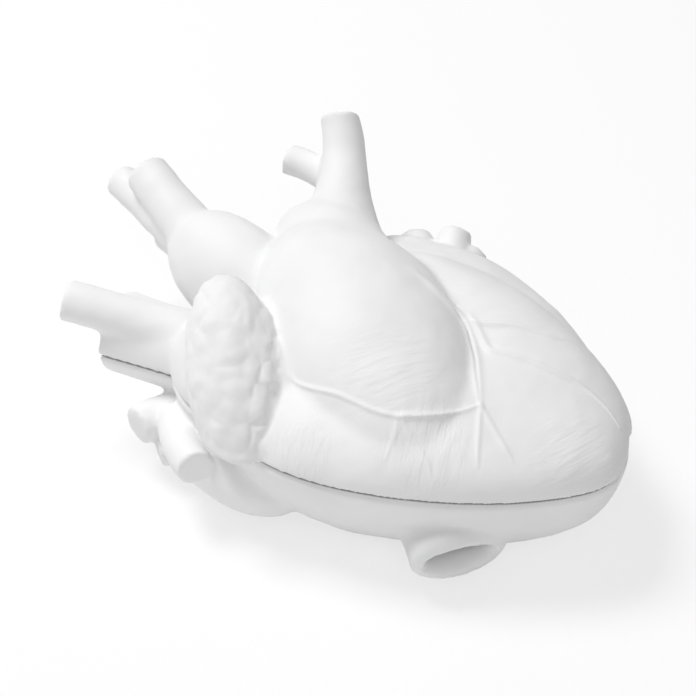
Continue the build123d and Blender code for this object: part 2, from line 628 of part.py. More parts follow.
with BuildPart() as barrel_bridge:
    with BuildSketch(Plane.XY.offset(BRIDGE_BASE)):
        with Locations((BARREL_X, BARREL_Y)):
            Rectangle(2 * (BRIDGE_LEG_X + BRIDGE_LEG), 2 * BRIDGE_HALF_WIDTH)
        with Locations((BARREL_X, station(INNER_BEARING + BEARING_THICK))):
            Rectangle(LUG_WIDTH, BRIDGE_HALF_WIDTH + 1.5, align=(Align.CENTER, Align.MIN))
        with Locations((BARREL_X, BARREL_Y)):
            Circle(ARBOR_RADIUS + RUNNING, mode=Mode.SUBTRACT)
    extrude(amount=BRIDGE_THICK)
    # legs down to the bedplate
    with BuildSketch(Plane.XY.offset(BED_TOP)):
        with Locations((BARREL_X, BARREL_Y)):
            with GridLocations(2 * BRIDGE_LEG_X + BRIDGE_LEG, 0, 2, 1):
                Rectangle(BRIDGE_LEG, 2 * BRIDGE_HALF_WIDTH)
    extrude(amount=BRIDGE_BASE - BED_TOP)
    # lug with the cylinder arbor's near bearing
    with BuildSketch(across(INNER_BEARING)):
        Circle(LUG_WIDTH / 2)
        Rectangle(LUG_WIDTH, AXIS_Z - BRIDGE_BASE, align=(Align.CENTER, Align.MIN))
    extrude(amount=BEARING_THICK)
    with BuildSketch(across(INNER_BEARING - 0.5)):
        Circle(SHAFT_RADIUS + RUNNING)
    extrude(amount=BEARING_THICK + 1, mode=Mode.SUBTRACT)
barrel_bridge.part.label = "barrel_bridge"
export_step(barrel_bridge.part, "parts/barrel_bridge.step")

# ------------------------------------------------------------ idler
WORM_WHEEL_THICK = 1.4
IDLER_INNER_END = GOVERNOR_PLATE - 0.4

with BuildPart() as idler_arbor:
    with BuildSketch(across(IDLER_INNER_END, IDLER_X, IDLER_Z)):
        Circle(SHAFT_RADIUS)
    extrude(amount=END_BEARING + BEARING_THICK + 0.4 - IDLER_INNER_END)
    # the leaves are cut on the arbor, with a gap towards the cylinder's wheel
    gap_turn = degrees(IDLER_DROP) + 180 / IDLER_TEETH
    with BuildSketch(across(WHEEL_START - 0.3, IDLER_X, IDLER_Z, tooth=gap_turn)):
        Polygon(*gear_outline(IDLER_TEETH, GEAR_MODULE), align=None)
    extrude(amount=WHEEL_THICK + 0.6)
idler_arbor.part.label = "idler_arbor"
export_step(idler_arbor.part, "parts/idler_arbor.step")

with BuildPart() as worm_wheel:
    wheel_start = WORM_STATION - WORM_WHEEL_THICK / 2
    with BuildSketch(across(wheel_start, IDLER_X, IDLER_Z, tooth=180)):
        Polygon(*gear_outline(WORM_WHEEL_TEETH, WORM_MODULE), align=None)
        Circle(SHAFT_RADIUS + SEAT_GAP, mode=Mode.SUBTRACT)
    extrude(amount=WORM_WHEEL_THICK)
worm_wheel.part.label = "worm_wheel"
export_step(worm_wheel.part, "parts/worm_wheel.step")

# ------------------------------------------------------------ governor
PIVOT_RADIUS = 0.6
PIVOT_DEPTH = 1.0
WORM_CORE = WORM_RADIUS - 1.0 * WORM_MODULE  # the thread stands on this core
ARM_THICK = 1.5
TOP_ARM_BASE = TOP_ARM_Z - 0.5
FAN_BASE = IDLER_Z + WORM_WHEEL_RADIUS + 2.6
FAN_THICK = 0.5
FAN_COLLAR = 1.3
ARM_END = WORM_STATION + 3.0
GOVERNOR_LEFT_X = LEVER_PIVOT_X - 2.6
GOVERNOR_FOOT_X = BED_RIGHT - BED_WIDTH + 0.65  # just inside the bedplate's edge
GOVERNOR_RIGHT_X = BARREL_X - CYLINDER_RADIUS - PIN_HEIGHT - 1.3
FOOT_ARM_X = WORM_X + 2.6

with BuildPart() as governor_bracket:
    # upright plate beside the worm, cut back where the cylinder turns
    with BuildSketch(Plane.XZ.offset(-station(GOVERNOR_PLATE))):
        Polygon(
            (GOVERNOR_FOOT_X, BED_TOP),
            (GOVERNOR_RIGHT_X, BED_TOP),
            (GOVERNOR_RIGHT_X, IDLER_Z + 2.5),
            (FOOT_ARM_X, IDLER_Z + 6.0),
            (FOOT_ARM_X, TOP_ARM_BASE + ARM_THICK),
            (GOVERNOR_LEFT_X, TOP_ARM_BASE + ARM_THICK),
            (GOVERNOR_LEFT_X, LEVER_Z - 3.2),
            (GOVERNOR_FOOT_X, LEVER_Z - 7.0),
            align=None,
        )
    extrude(amount=BEARING_THICK)
    # arms over and under the worm, which runs between them
    with BuildSketch(Plane.XY.offset(TOP_ARM_BASE)):
        with Locations((FOOT_ARM_X, station(GOVERNOR_PLATE))):
            Rectangle(5.2, ARM_END - GOVERNOR_PLATE, align=(Align.MAX, Align.MAX))
    extrude(amount=ARM_THICK)
    with BuildSketch(Plane.XY.offset(BED_TOP)):
        with Locations((GOVERNOR_RIGHT_X, station(GOVERNOR_PLATE))):
            Rectangle(
                GOVERNOR_RIGHT_X - GOVERNOR_FOOT_X, ARM_END - GOVERNOR_PLATE,
                align=(Align.MAX, Align.MAX),
            )
    extrude(amount=BRACKET_FOOT)
    with BuildSketch(Plane.XY.offset(BED_TOP + BRACKET_FOOT - PIVOT_DEPTH)):
        with Locations((WORM_X, station(WORM_STATION))):
            Circle(PIVOT_RADIUS + RUNNING)
    extrude(amount=TOP_ARM_BASE + PIVOT_DEPTH - BED_TOP - BRACKET_FOOT + PIVOT_DEPTH, mode=Mode.SUBTRACT)
    with BuildSketch(across(GOVERNOR_PLATE - 0.5, IDLER_X, IDLER_Z)):
        Circle(SHAFT_RADIUS + RUNNING)
    extrude(amount=BEARING_THICK + 1, mode=Mode.SUBTRACT)
governor_bracket.part.label = "governor_bracket"
export_step(governor_bracket.part, "parts/governor_bracket.step")

SHAFT_END_PLAY = 0.1
with BuildPart() as worm_shaft:
    with BuildSketch(Plane.XY.offset(BED_TOP + BRACKET_FOOT - PIVOT_DEPTH + SHAFT_END_PLAY)):
        with Locations((WORM_X, station(WORM_STATION))):
            Circle(PIVOT_RADIUS)
    extrude(amount=TOP_ARM_BASE + 2 * PIVOT_DEPTH - BED_TOP - BRACKET_FOOT - 2 * SHAFT_END_PLAY)
    with BuildSketch(Plane.XY.offset(IDLER_Z - WORM_LENGTH / 2)):
        with Locations((WORM_X, station(WORM_STATION))):
            Circle(WORM_CORE)
    extrude(amount=WORM_LENGTH)
worm_shaft.part.label = "worm_shaft"
export_step(worm_shaft.part, "parts/worm_shaft.step")

with BuildPart() as fan:
    with BuildSketch(Plane.XY.offset(FAN_BASE)):
        with Locations((WORM_X, station(WORM_STATION))):
            Circle(FAN_COLLAR)
            Rectangle(2 * FAN_RADIUS, FAN_THICK)
            Circle(PIVOT_RADIUS + SEAT_GAP, mode=Mode.SUBTRACT)
    extrude(amount=FAN_HEIGHT)
fan.part.label = "fan"
export_step(fan.part, "parts/fan.step")

# ------------------------------------------------------------ stop lever
LEVER_PIN_RADIUS = 0.8
FINGER_X = WORM_X - FAN_RADIUS - 0.5

with BuildPart() as stop_lever:
    with BuildSketch(Plane.XZ.offset(-station(LEVER_STATION))):
        with BuildLine():
            Polyline(
                (LEVER_PIVOT_X - LEVER_REACH, LEVER_Z - LEVER_HEIGHT / 2),
                (LEVER_PIVOT_X - LEVER_REACH, LEVER_Z + LEVER_HEIGHT / 2),
                (FINGER_X, LEVER_Z + LEVER_HEIGHT / 2),
                (FINGER_X, LEVER_Z - LEVER_HEIGHT / 2 - 1.4),
                (FINGER_X - 1.2, LEVER_Z - LEVER_HEIGHT / 2 - 1.4),
                (FINGER_X - 1.6, LEVER_Z - LEVER_HEIGHT / 2),
                (LEVER_PIVOT_X - LEVER_REACH, LEVER_Z - LEVER_HEIGHT / 2),
            )
        make_face()
        with Locations((LEVER_PIVOT_X, LEVER_Z)):
            Circle(LEVER_PIN_RADIUS + RUNNING, mode=Mode.SUBTRACT)
    extrude(amount=LEVER_THICK)
stop_lever.part.label = "stop_lever"
export_step(stop_lever.part, "parts/stop_lever.step")

# shouldered pin, seated on the bracket's plate
with BuildPart() as lever_pivot:
    with BuildSketch(across(GOVERNOR_PLATE + BEARING_THICK, LEVER_PIVOT_X, LEVER_Z)):
        Circle(LEVER_PIN_RADIUS)
    extrude(amount=LEVER_THICK + 0.3)
    with BuildSketch(across(LEVER_STATION + LEVER_THICK + 0.1, LEVER_PIVOT_X, LEVER_Z)):
        Circle(LEVER_PIN_RADIUS + 0.5)
    extrude(amount=0.6)
lever_pivot.part.label = "lever_pivot"
export_step(lever_pivot.part, "parts/lever_pivot.step")

# ------------------------------------------------------------ key
KEY_HUB_TOP = RECESS_TOP - 1.0
KEY_HUB_HEIGHT = KEY_HUB_TOP - KEY_ARBOR_END + 1.0
WING_TOP = KEY_HUB_TOP - 1.5
WING_BASE = KEY_GROUND_GAP
WING_HEIGHT = WING_TOP - WING_BASE
WING_X = KEY_HALF_WIDTH - WING_HEIGHT / 2
WING_HOLE = 1.9

with BuildPart() as winding_key:
    with BuildSketch(Plane.XZ.offset(-BARREL_Y + KEY_THICK / 2)):
        for side in (-1, 1):
            with Locations((BARREL_X + side * WING_X, (WING_TOP + WING_BASE) / 2)):
                Circle(WING_HEIGHT / 2)
        with Locations((BARREL_X, (WING_TOP + WING_BASE) / 2 + 1.0)):
            Rectangle(2 * WING_X, WING_HEIGHT - 4.0)
        for side in (-1, 1):
            with Locations((BARREL_X + side * (WING_X + 0.4), (WING_TOP + WING_BASE) / 2)):
                Circle(WING_HOLE, mode=Mode.SUBTRACT)
    extrude(amount=-KEY_THICK)
    with BuildSketch(Plane.XY.offset(KEY_HUB_TOP)):
        with Locations((BARREL_X, BARREL_Y)):
            Circle(KEY_HUB_RADIUS)
    extrude(amount=-KEY_HUB_HEIGHT)
    with BuildSketch(Plane.XY.offset(KEY_ARBOR_END)):
        with Locations((BARREL_X, BARREL_Y)):
            Circle(ARBOR_RADIUS + SEAT_GAP)
    extrude(amount=RECESS_TOP, mode=Mode.SUBTRACT)
winding_key.part.label = "winding_key"
export_step(winding_key.part, "parts/winding_key.step")
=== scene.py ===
"""Wind-up music box in the form of a porcelain heart: shells, fittings, finishes and stage."""

import math

import bpy
import numpy
from bpy.props import FloatProperty, FloatVectorProperty, IntProperty, PointerProperty
from mathutils import Matrix, Vector, noise
from mathutils.bvhtree import BVHTree


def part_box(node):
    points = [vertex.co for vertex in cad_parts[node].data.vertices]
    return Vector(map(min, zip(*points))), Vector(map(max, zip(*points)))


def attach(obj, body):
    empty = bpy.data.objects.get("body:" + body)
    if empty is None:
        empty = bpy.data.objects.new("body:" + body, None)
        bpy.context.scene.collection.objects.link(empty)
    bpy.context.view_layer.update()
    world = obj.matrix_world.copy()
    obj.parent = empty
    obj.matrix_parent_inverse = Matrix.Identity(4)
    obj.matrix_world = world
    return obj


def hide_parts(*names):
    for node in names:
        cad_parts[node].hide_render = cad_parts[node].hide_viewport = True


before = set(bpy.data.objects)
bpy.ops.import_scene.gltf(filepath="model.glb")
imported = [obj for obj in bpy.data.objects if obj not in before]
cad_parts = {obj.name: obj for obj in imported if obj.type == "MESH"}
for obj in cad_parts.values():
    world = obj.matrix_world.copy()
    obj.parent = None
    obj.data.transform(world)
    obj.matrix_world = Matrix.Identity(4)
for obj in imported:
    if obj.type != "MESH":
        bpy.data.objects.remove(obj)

bl_info = {
    "name": "Porcelain Heart Music Box",
    "version": (1, 1, 0),
    "blender": (4, 5, 0),
    "location": "View3D > Sidebar > Heart Box",
    "description": "Models and finishes a porcelain heart music box and its movement",
    "category": "Add Mesh",
}

MM = 0.001
SIDEWAYS = (0, 1, 0)
UPRIGHT = (0, 0, 1)
LIP_HEIGHT = 2.4 * MM  # how far the base's lip reaches up into the lid
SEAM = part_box("base")[1].z - LIP_HEIGHT  # where the lid meets the base
HEART_MIDDLE = Vector((2 * MM, -34 * MM, SEAM))
SHARP_ANGLE = math.radians(35)  # past which an edge of a small piece stays sharp
WELD = 0.001 * MM  # points closer than this are one
FAINT = 0.01  # a weight below this counts as none


# ---------------------------------------------------------------- forms of the heart, in mm
# Points where lines over the skin meet.
FRONT_FORK = (-14.1, -63, 53.9)
RIDGE_TURN = (-33, -48, 55.2)
RIDGE_OVER_FRONT = [
    (-31.9, -49.8, 55.2), (-27.6, -54.4, 54.8), (-22, -58.2, 53.6), (-17.2, -61.4, 53.5),
    (-14.2, -62.8, 53.9),
]

# Lines over the skin: points along each, half its width, and its height (below 0 for a groove).
SKIN_LINES = {
    "auricle_ridge": ([
        (-22, 9.5, 63), (-27, 4, 62), (-36.5, -3, 60), (-43, -7.5, 55.5), (-49.5, -11, 50),
        (-54.5, -14, 43.5), (-57.2, -16, 37.5),
    ], 1.8, 0.35),
    "front_artery": ([
        (9.9, -22, 69), (8.9, -29.7, 66.5), (8.9, -33.2, 64.6), (8.7, -37.4, 62), (9.1, -40.7, 59.3),
        (6.7, -44.6, 58), (3.5, -48.3, 56.5), (-2, -52.8, 56.5), (-7.1, -57, 56.1), (-11.1, -60.3, 55.2),
        FRONT_FORK,
    ], 1.9, 0.85),
    "front_groove": ([
        (10, -24, 68), (8.9, -33.2, 64.6), (8.9, -40.4, 59.5), (3.3, -48.3, 56.8), (-7.1, -57, 56.1),
        (-13, -62, 53.9),
    ], 0.6, -0.55),
    "front_artery_end": ([
        FRONT_FORK, (-17.8, -65.2, 52.4), (-21.8, -67.6, 50.6), (-25.4, -69.8, 48.5), (-29.1, -72.4, 45.5),
    ], 0.8, 0.4),
    "front_artery_fork": ([
        FRONT_FORK, (-15.8, -66.1, 52.7), (-18, -70.6, 50.9), (-20.2, -75.8, 48.6), (-21.8, -79.8, 46.3),
    ], 0.8, 0.4),
    "left_branch_lower": ([
        (11.9, -41, 60.2), (10.1, -44.8, 59.5), (7.6, -49.1, 57.8), (4.9, -52.9, 56.5), (5.7, -55.9, 56.5),
        (6.9, -59.6, 56.3), (8.8, -65, 55.4), (10.6, -71.6, 53.8), (13.1, -77.8, 51.7), (14.3, -83.7, 49.1),
        (13.9, -89.6, 46.4), (12.2, -95.1, 43.2),
    ], 1.1, 0.85),
    "left_branch_upper": ([
        (10.1, -43.7, 59.5), (12.4, -49.2, 59.6), (15.8, -53.6, 59.5), (19.1, -59.4, 58.4),
        (21.8, -64.4, 56.6), (25.3, -69.2, 53.7), (25.9, -72.5, 52),
    ], 1.0, 0.7),
    "right_ridge": ([
        (-36.4, -10.7, 53.4), (-37.5, -14.4, 52.5), (-37.8, -21.7, 54.7), (-37.4, -28.2, 56.4),
        (-37.1, -33.6, 56.4), (-36.4, -39.8, 55.7), (-34.8, -45.3, 55.3), *RIDGE_OVER_FRONT,
    ], 0.8, 0.5),
    "right_ridge_end": ([RIDGE_TURN, *RIDGE_OVER_FRONT], 1.4, 0.35),
    "right_branch_near": ([
        (-33.4, -47.4, 55.2), (-35.4, -48.6, 52.6), (-38.2, -49.1, 49.4), (-42.1, -49.6, 45.9),
    ], 0.8, 0.3),
    "right_branch_far": ([
        RIDGE_TURN, (-34.6, -52.9, 50.7), (-35, -56.5, 48.1), (-36.4, -60.9, 45.6), (-38.1, -62.7, 43.1),
    ], 0.8, 0.3),
}

# How a line starts low and ends narrow: stretches are shares of its length.
LINE_START = (0.0, 0.15)
LINE_START_HEIGHT = 0.25
LINE_END = (0.6, 1.0)
LINE_TAPER = 0.6
LINE_DETAIL = 2.2  # how far from a line the faces are divided, in its half widths

# The crease that is rounded most: points along it, and how far the rounding reaches.
SOFT_CREASE = ([(4, 4, 68), (22, 0, 66), (34, -2, 60)], 12)
CREASE_CORE = 0.4  # the share of that reach that is rounded in full
CREASE_STEPS = 4  # how many times as much as the rest of the skin

# Cut ends of the vessels, which keep their edges.
VESSEL_ENDS = [
    (-48, 70, 50.5), (10, 88, 60), (11, 102, 51), (9, 79, 39), (56, 41, 77), (43, 53, 62),
    (58, 10, 38), (64, -2, 43), (63, -10, 37.5), (-37, 60, 36.3),
]

# The lower vein's open end.
VEIN_MOUTH = (-37, -75, 13.5)

# Soft unevenness of the skin: how large its swellings are, and how high.
SWELLINGS = [(13, 0.42), (5, 0.13)]

# Muscle fibres: middle and reach of a patch, the way they run, and their width and height.
FIBRES = [
    ((-25, -38, 61), (4, 24), (0.79, -0.60, 0.13), 2.2, 0.09),
    ((-33, -58, 48), (4, 21), (-0.70, -0.27, -0.65), 2.3, 0.13),
    ((-8, -92, 43), (8, 20), (0.95, -0.30, 0.05), 1.9, 0.08),
    ((2, 6, 72), (5, 15), (0.92, -0.30, 0.15), 2.6, 0.10),
    ((-52, -28, 43), (5, 14), (-0.55, -0.25, -0.80), 1.8, 0.12),
    ((30, -50, 54), (14, 34), (0.60, -0.75, -0.25), 3.2, 0.10),
]
FIBRE_LENGTH = 9  # in widths of the fibre


# ---------------------------------------------------------------- sizes of the porcelain, in metres
# The auricle, and the wrinkled lumps on it.
AURICLE_MIDDLE = Vector((-42.5, 5.5, 48)) * MM
AURICLE_LENGTHWAYS = Vector((-0.5, -0.55, -0.66)).normalized()
AURICLE_HALF_LENGTH = 32 * MM
AURICLE_HALF_WIDTH = 15 * MM
AURICLE_FADE = (1.02, 1.14)  # where its lumps fade, in half sizes from its middle
LUMP_SIZE = 6.8 * MM
LUMP_FLAT = 0.7  # a lump stops rising this far from its edge, in lump sizes
LUMP_STRETCH = 0.25  # the share of the way along the auricle that is left out, for longer lumps
LUMP_SWAY = 2.6 * MM
SWAY_SIZE = 8 * MM
SWAY_SEED = 1795370710  # any number but 0, which would sway the lumps anew on each run
WRINKLE_SIZE = 3.2 * MM
WRINKLE_HEIGHT = 0.45  # as a share of a lump's

# The lip of the lower vein: how thick it is beyond the shell's wall, and where it fades.
VEIN_LIP = 2.4 * MM
VEIN_LIP_FADE = (9 * MM, 17 * MM)
VEIN_SMOOTH_FADE = (13 * MM, 20 * MM)

# The rims of the shells.
RIM_ANGLE = math.radians(50)  # past which a shell's edge stays sharp
SEAM_GAP = 0.4 * MM  # how far the lid's rim stands above the base
RIM_BAND = (1.2 * MM, 2.2 * MM)  # how near to the base the lid's rim is levelled
RIM_DRAWN_IN = 1.4 * MM  # how far the base's rim is drawn in under the lid
SHOULDER = SEAM + 0.1 * MM  # just above the base's flat shoulder

# How squarely a point has to face outwards, upwards or the vein's mouth, from 0 to 1.
OUTWARD_FACING = (0.05, 0.4)
FLAT_FACING = 0.9
MOUTH_FACING = (0.1, 0.6)

# Where each change of a skin starts and ends: heights, or distances from what is named.
LINING_FADE = (1 * MM, 4 * MM)  # above the seam
LINING_DEPTH = 0.3 * MM  # the lining lies at least this far in front of the skin, seen from inside
VESSEL_END_FADE = (8 * MM, 15 * MM)
FOOT_FADE = (2 * MM, 4 * MM)
LID_EDGE = (SEAM + 0.8 * MM, SEAM + 2 * MM)
BASE_EDGE = (SEAM - 2.5 * MM, SEAM - 1.2 * MM)
EVEN_AT_SEAM = (SEAM - 4 * MM, SEAM)
DRAWN_IN_FADE = (SEAM - 1.5 * MM, SEAM - 0.9 * MM)
# Painted shade on the base: a dark band just below the seam, standing in for the shadow under the lid's rim.
# Where it darkens in, where it fades out, and how far out the skin's own plane must lie for it to show.
SEAM_SHADOW_START = (SEAM - 1.2 * MM, SEAM - 0.75 * MM)
SEAM_SHADOW_END = (SEAM - 0.6 * MM, SEAM - 0.4 * MM)
SEAM_SHADOW_OUTER = (0.0, 8 * MM)  # how far the outer skin's own plane lies from the origin


# ---------------------------------------------------------------- sizes and colours
class HeartSizes(bpy.types.PropertyGroup):
    """Sizes that shape the porcelain and the stage."""

    shell_grain: FloatProperty(
        name="Shell grain", description="Size of the grains of the finished shells",
        default=0.88 * MM, min=0.5 * MM, unit="LENGTH",
    )
    blend_steps: IntProperty(
        name="Blend steps", description="How far the creases between forms are rounded",
        default=30, min=0,
    )
    lump_height: FloatProperty(
        name="Lump height", description="How far the lumps of the auricle stand out",
        default=0.75 * MM, min=0, unit="LENGTH",
    )
    felt_thickness: FloatProperty(
        name="Felt thickness", description="Thickness of the felt under the foot",
        default=1.2 * MM, min=0.5 * MM, unit="LENGTH",
    )
    screw_head: FloatProperty(
        name="Screw head", description="Radius of the heads of the movement's small screws",
        default=1.5 * MM, min=0.5 * MM, unit="LENGTH",
    )
    floor_reach: FloatProperty(
        name="Floor reach", description="Half the side of the floor",
        default=3.0, min=1.0, unit="LENGTH",
    )


class HeartColours(bpy.types.PropertyGroup):
    """Colours of the finishes."""

    porcelain: FloatVectorProperty(
        name="Porcelain", description="Colour of the bare fired porcelain",
        default=(0.86, 0.86, 0.86), subtype="COLOR", min=0, max=1,
    )
    brass: FloatVectorProperty(
        name="Brass", description="Colour of the brass pieces",
        default=(0.80, 0.62, 0.33), subtype="COLOR", min=0, max=1,
    )
    steel: FloatVectorProperty(
        name="Steel", description="Colour of the steel pieces",
        default=(0.62, 0.63, 0.65), subtype="COLOR", min=0, max=1,
    )
    blued_steel: FloatVectorProperty(
        name="Blued steel", description="Colour of the springs",
        default=(0.13, 0.17, 0.27), subtype="COLOR", min=0, max=1,
    )
    nickel: FloatVectorProperty(
        name="Nickel", description="Colour of the winding key",
        default=(0.78, 0.76, 0.72), subtype="COLOR", min=0, max=1,
    )
    lead: FloatVectorProperty(
        name="Lead", description="Colour of the comb's weights",
        default=(0.30, 0.31, 0.33), subtype="COLOR", min=0, max=1,
    )
    felt: FloatVectorProperty(
        name="Felt", description="Colour of the felt under the foot",
        default=(0.07, 0.12, 0.08), subtype="COLOR", min=0, max=1,
    )
    floor: FloatVectorProperty(
        name="Floor", description="Colour of the floor",
        default=(0.95, 0.95, 0.95), subtype="COLOR", min=0, max=1,
    )


def sizes():
    """The sizes set in the scene."""
    return bpy.context.scene.heart_sizes


def colours():
    """The colours set in the scene."""
    return bpy.context.scene.heart_colours


# ---------------------------------------------------------------- finishes
class Value:
    """A number's socket in a finish, on which arithmetic adds Math nodes."""

    def __init__(self, finish, socket):
        self.finish = finish
        self.socket = socket

    def __add__(self, other):
        return self.finish.maths("ADD", self, other)

    def __mul__(self, other):
        return self.finish.maths("MULTIPLY", self, other)

    __radd__ = __add__
    __rmul__ = __mul__


class Finish:
    """A finish while it is made: a material, its shader and the nodes that feed it."""

    def __init__(self, name, colour, roughness, metallic=0.0, specular=0.5):
        self.material = bpy.data.materials.new(name)
        self.material.use_nodes = True
        self.tree = self.material.node_tree
        self.shader = self.tree.nodes["Principled BSDF"]
        self.set("Base Color", (*colour, 1))
        self.set("Roughness", roughness)
        self.set("Metallic", metallic)
        self.set("Specular IOR Level", specular)
        self.place = self.node("ShaderNodeTexCoord", output="Object")

    def set(self, socket, value):
        """Sets one of the shader's sockets to a value or a link."""
        self.feed(self.shader.inputs[socket], value)

    def feed(self, socket, value):
        """Gives a socket a value or a link."""
        if isinstance(value, Value):
            self.tree.links.new(value.socket, socket)
        else:
            socket.default_value = value

    def node(self, kind, settings=None, sockets=None, output=0):
        """Adds any node: its settings first, then its sockets' values or links."""
        node = self.tree.nodes.new(kind)
        for name, value in (settings or {}).items():
            setattr(node, name, value)
        for name, value in (sockets or {}).items():
            self.feed(node.inputs[name], value)
        return Value(self, node.outputs[output])

    def maths(self, operation, first, second):
        """What an operation makes of two numbers."""
        return self.node("ShaderNodeMath", {"operation": operation}, {0: first, 1: second})

    def times(self, vector):
        """The place, stretched by a vector."""
        return self.node("ShaderNodeVectorMath", {"operation": "MULTIPLY"}, {0: self.place, 1: vector})

    def along(self, direction, place=None):
        """How far the place lies along a direction, in metres."""
        sockets = {0: place or self.place, 1: direction}
        return self.node("ShaderNodeVectorMath", {"operation": "DOT_PRODUCT"}, sockets, "Value")

    def clouds(self, size, place=None, detail=2.0):
        """Noise from 0 to 1 in lumps of about this size, in metres."""
        sockets = {"Vector": place or self.place, "Scale": 1 / size, "Detail": detail}
        return self.node("ShaderNodeTexNoise", None, sockets)

    def lines(self, along, pitch):
        """Irregular lines from 0 to 1 across a length, about this far apart."""
        sockets = {"W": along, "Scale": 1 / pitch, "Detail": 3.0}
        return self.node("ShaderNodeTexNoise", {"noise_dimensions": "1D"}, sockets)

    def eased(self, value, low, high, start=0.0, end=1.0):
        """A value's change from low to high as an eased change from start to end."""
        sockets = {"Value": value, "From Min": low, "From Max": high, "To Min": start, "To Max": end}
        return self.node("ShaderNodeMapRange", {"interpolation_type": "SMOOTHSTEP"}, sockets)

    def blend(self, share, first, second):
        """A colour between two colours."""
        first = first if isinstance(first, Value) else (*first, 1)
        sockets = {0: share, 6: first, 7: (*second, 1)}
        return self.node("ShaderNodeMix", {"data_type": "RGBA"}, sockets, 2)

    def relief(self, height):
        """Bumps whose height is in millimetres."""
        self.set("Normal", self.node("ShaderNodeBump", None, {"Height": height, "Distance": MM}))

    def fibres(self, middle, reach, direction, width, height):
        """A patch of fibres that run one way, as a height in millimetres."""
        run = Vector(direction).normalized()
        side = run.orthogonal().normalized()
        thick = run.cross(side)
        sockets = {
            "X": self.along(run) * (1 / (FIBRE_LENGTH * width * MM)),
            "Y": self.along(side) * (1 / (width * MM)),
            "Z": self.along(thick) * (1 / (width * MM)),
        }
        stretched = self.node("ShaderNodeCombineXYZ", None, sockets)
        sockets = {"Vector": stretched, "Scale": 1.0, "Detail": 2.5, "Roughness": 0.6}
        streaks = self.node("ShaderNodeTexNoise", None, sockets)
        sockets = {0: self.place, 1: Vector(middle) * MM}
        away = self.node("ShaderNodeVectorMath", {"operation": "DISTANCE"}, sockets, "Value")
        patch = self.eased(away, reach[0] * MM, reach[1] * MM, 1.0, 0.0)
        return self.eased(streaks, 0.35, 0.65) * patch * height


def mixed(colour, share):
    """A colour made darker (share below 1) or lighter."""
    return tuple(min(part * share, 1) for part in colour)


def bare_porcelain(name, muscle):
    """Unglazed fired porcelain: faint clouds, a dry grain, muscle fibres or else painted seam shade."""
    white = colours().porcelain
    finish = Finish(name, white, 0.6, specular=0.3)
    clouds = finish.clouds(24 * MM)
    skin = finish.blend(finish.eased(clouds, 0.3, 0.7), mixed(white, 0.975), mixed(white, 1.01))
    if not muscle:
        # Painted shade: the base's colour is darkened to 0.3 of white in a thin band just below the seam, on
        # the outward-facing skin, where the lid's rim shades the gap.
        level = finish.along(UPRIGHT)
        seam_shadow = finish.eased(level, *SEAM_SHADOW_START) * finish.eased(level, *SEAM_SHADOW_END, 1.0, 0.0)
        facing = finish.node("ShaderNodeNewGeometry", output="Normal")
        seam_shadow = seam_shadow * finish.eased(finish.along(facing), *SEAM_SHADOW_OUTER)
        skin = finish.blend(seam_shadow, skin, mixed(white, 0.3))
    finish.set("Base Color", skin)
    grain = finish.clouds(0.45 * MM, detail=3.0)
    finish.set("Roughness", grain * 0.12 + 0.56)
    height = grain * 0.018 + finish.clouds(5 * MM) * 0.10
    if muscle:
        for patch in FIBRES:
            height = height + finish.fibres(*patch)
    finish.relief(height)
    return finish.material


def turned_metal(name, colour, roughness, centre, axis):
    """Metal turned on a lathe: fine rings about an axis, through a centre in mm."""
    finish = Finish(name, colour, roughness, metallic=1.0)
    kind = "ShaderNodeVectorMath"
    offset = finish.node(kind, {"operation": "SUBTRACT"}, {0: finish.place, 1: Vector(centre) * MM})
    flat = Vector((1, 1, 1)) - Vector(axis)
    across = finish.node(kind, {"operation": "MULTIPLY"}, {0: offset, 1: flat})
    radius = finish.node(kind, {"operation": "LENGTH"}, {0: across}, "Value")
    rings = finish.lines(radius + finish.along(axis, offset), 0.22 * MM)
    return handled(finish, colour, roughness, rings, 0.010)


def brushed_metal(name, colour, roughness, stretch):
    """Metal brushed one way: stretch is short along the strokes."""
    finish = Finish(name, colour, roughness, metallic=1.0)
    strokes = finish.clouds(0.2 * MM, finish.times(stretch), detail=3.0)
    return handled(finish, colour, roughness, strokes, 0.008)


def cast_metal(name, colour, roughness):
    """Satin cast metal with a soft, even skin."""
    finish = Finish(name, colour, roughness, metallic=1.0)
    skin = finish.clouds(0.35 * MM, detail=4.0)
    return handled(finish, colour, roughness, skin, 0.020)


def handled(finish, colour, roughness, pattern, depth):
    """A metal's colour, gloss and relief from its tool marks and from light tarnish."""
    tarnish = finish.eased(finish.clouds(7 * MM, detail=3.0), 0.35, 0.75)
    finish.set("Base Color", finish.blend(tarnish, mixed(colour, 1.03), mixed(colour, 0.84)))
    finish.set("Roughness", pattern * 0.16 + tarnish * 0.10 + (roughness - 0.1))
    finish.relief(pattern * depth)
    return finish.material


def pressed_felt():
    """Pressed wool felt: matted fibres, slightly uneven colour."""
    wool = colours().felt
    finish = Finish("pressed_felt", wool, 1.0, specular=0.1)
    mat = finish.clouds(0.5 * MM, finish.times((1, 0.6, 1)), detail=5.0)
    finish.set("Base Color", finish.blend(finish.eased(mat, 0.3, 0.7), mixed(wool, 0.7), mixed(wool, 1.5)))
    finish.set("Sheen Weight", 0.4)
    finish.relief(mat * 0.15)
    return finish.material


# ---------------------------------------------------------------- modelling helpers
def pick(*pieces):
    """Selects these pieces alone and makes the first one active."""
    bpy.ops.object.select_all(action="DESELECT")
    for piece in pieces:
        piece.select_set(True)
    bpy.context.view_layer.objects.active = pieces[0]


def edited(piece, *steps):
    """Takes each step, an operator and its settings, on the whole of a piece in edit mode."""
    pick(piece)
    bpy.ops.object.mode_set(mode="EDIT")
    bpy.ops.mesh.select_all(action="SELECT")
    for operator, settings in steps:
        operator(**settings)
    bpy.ops.object.mode_set(mode="OBJECT")
    return piece


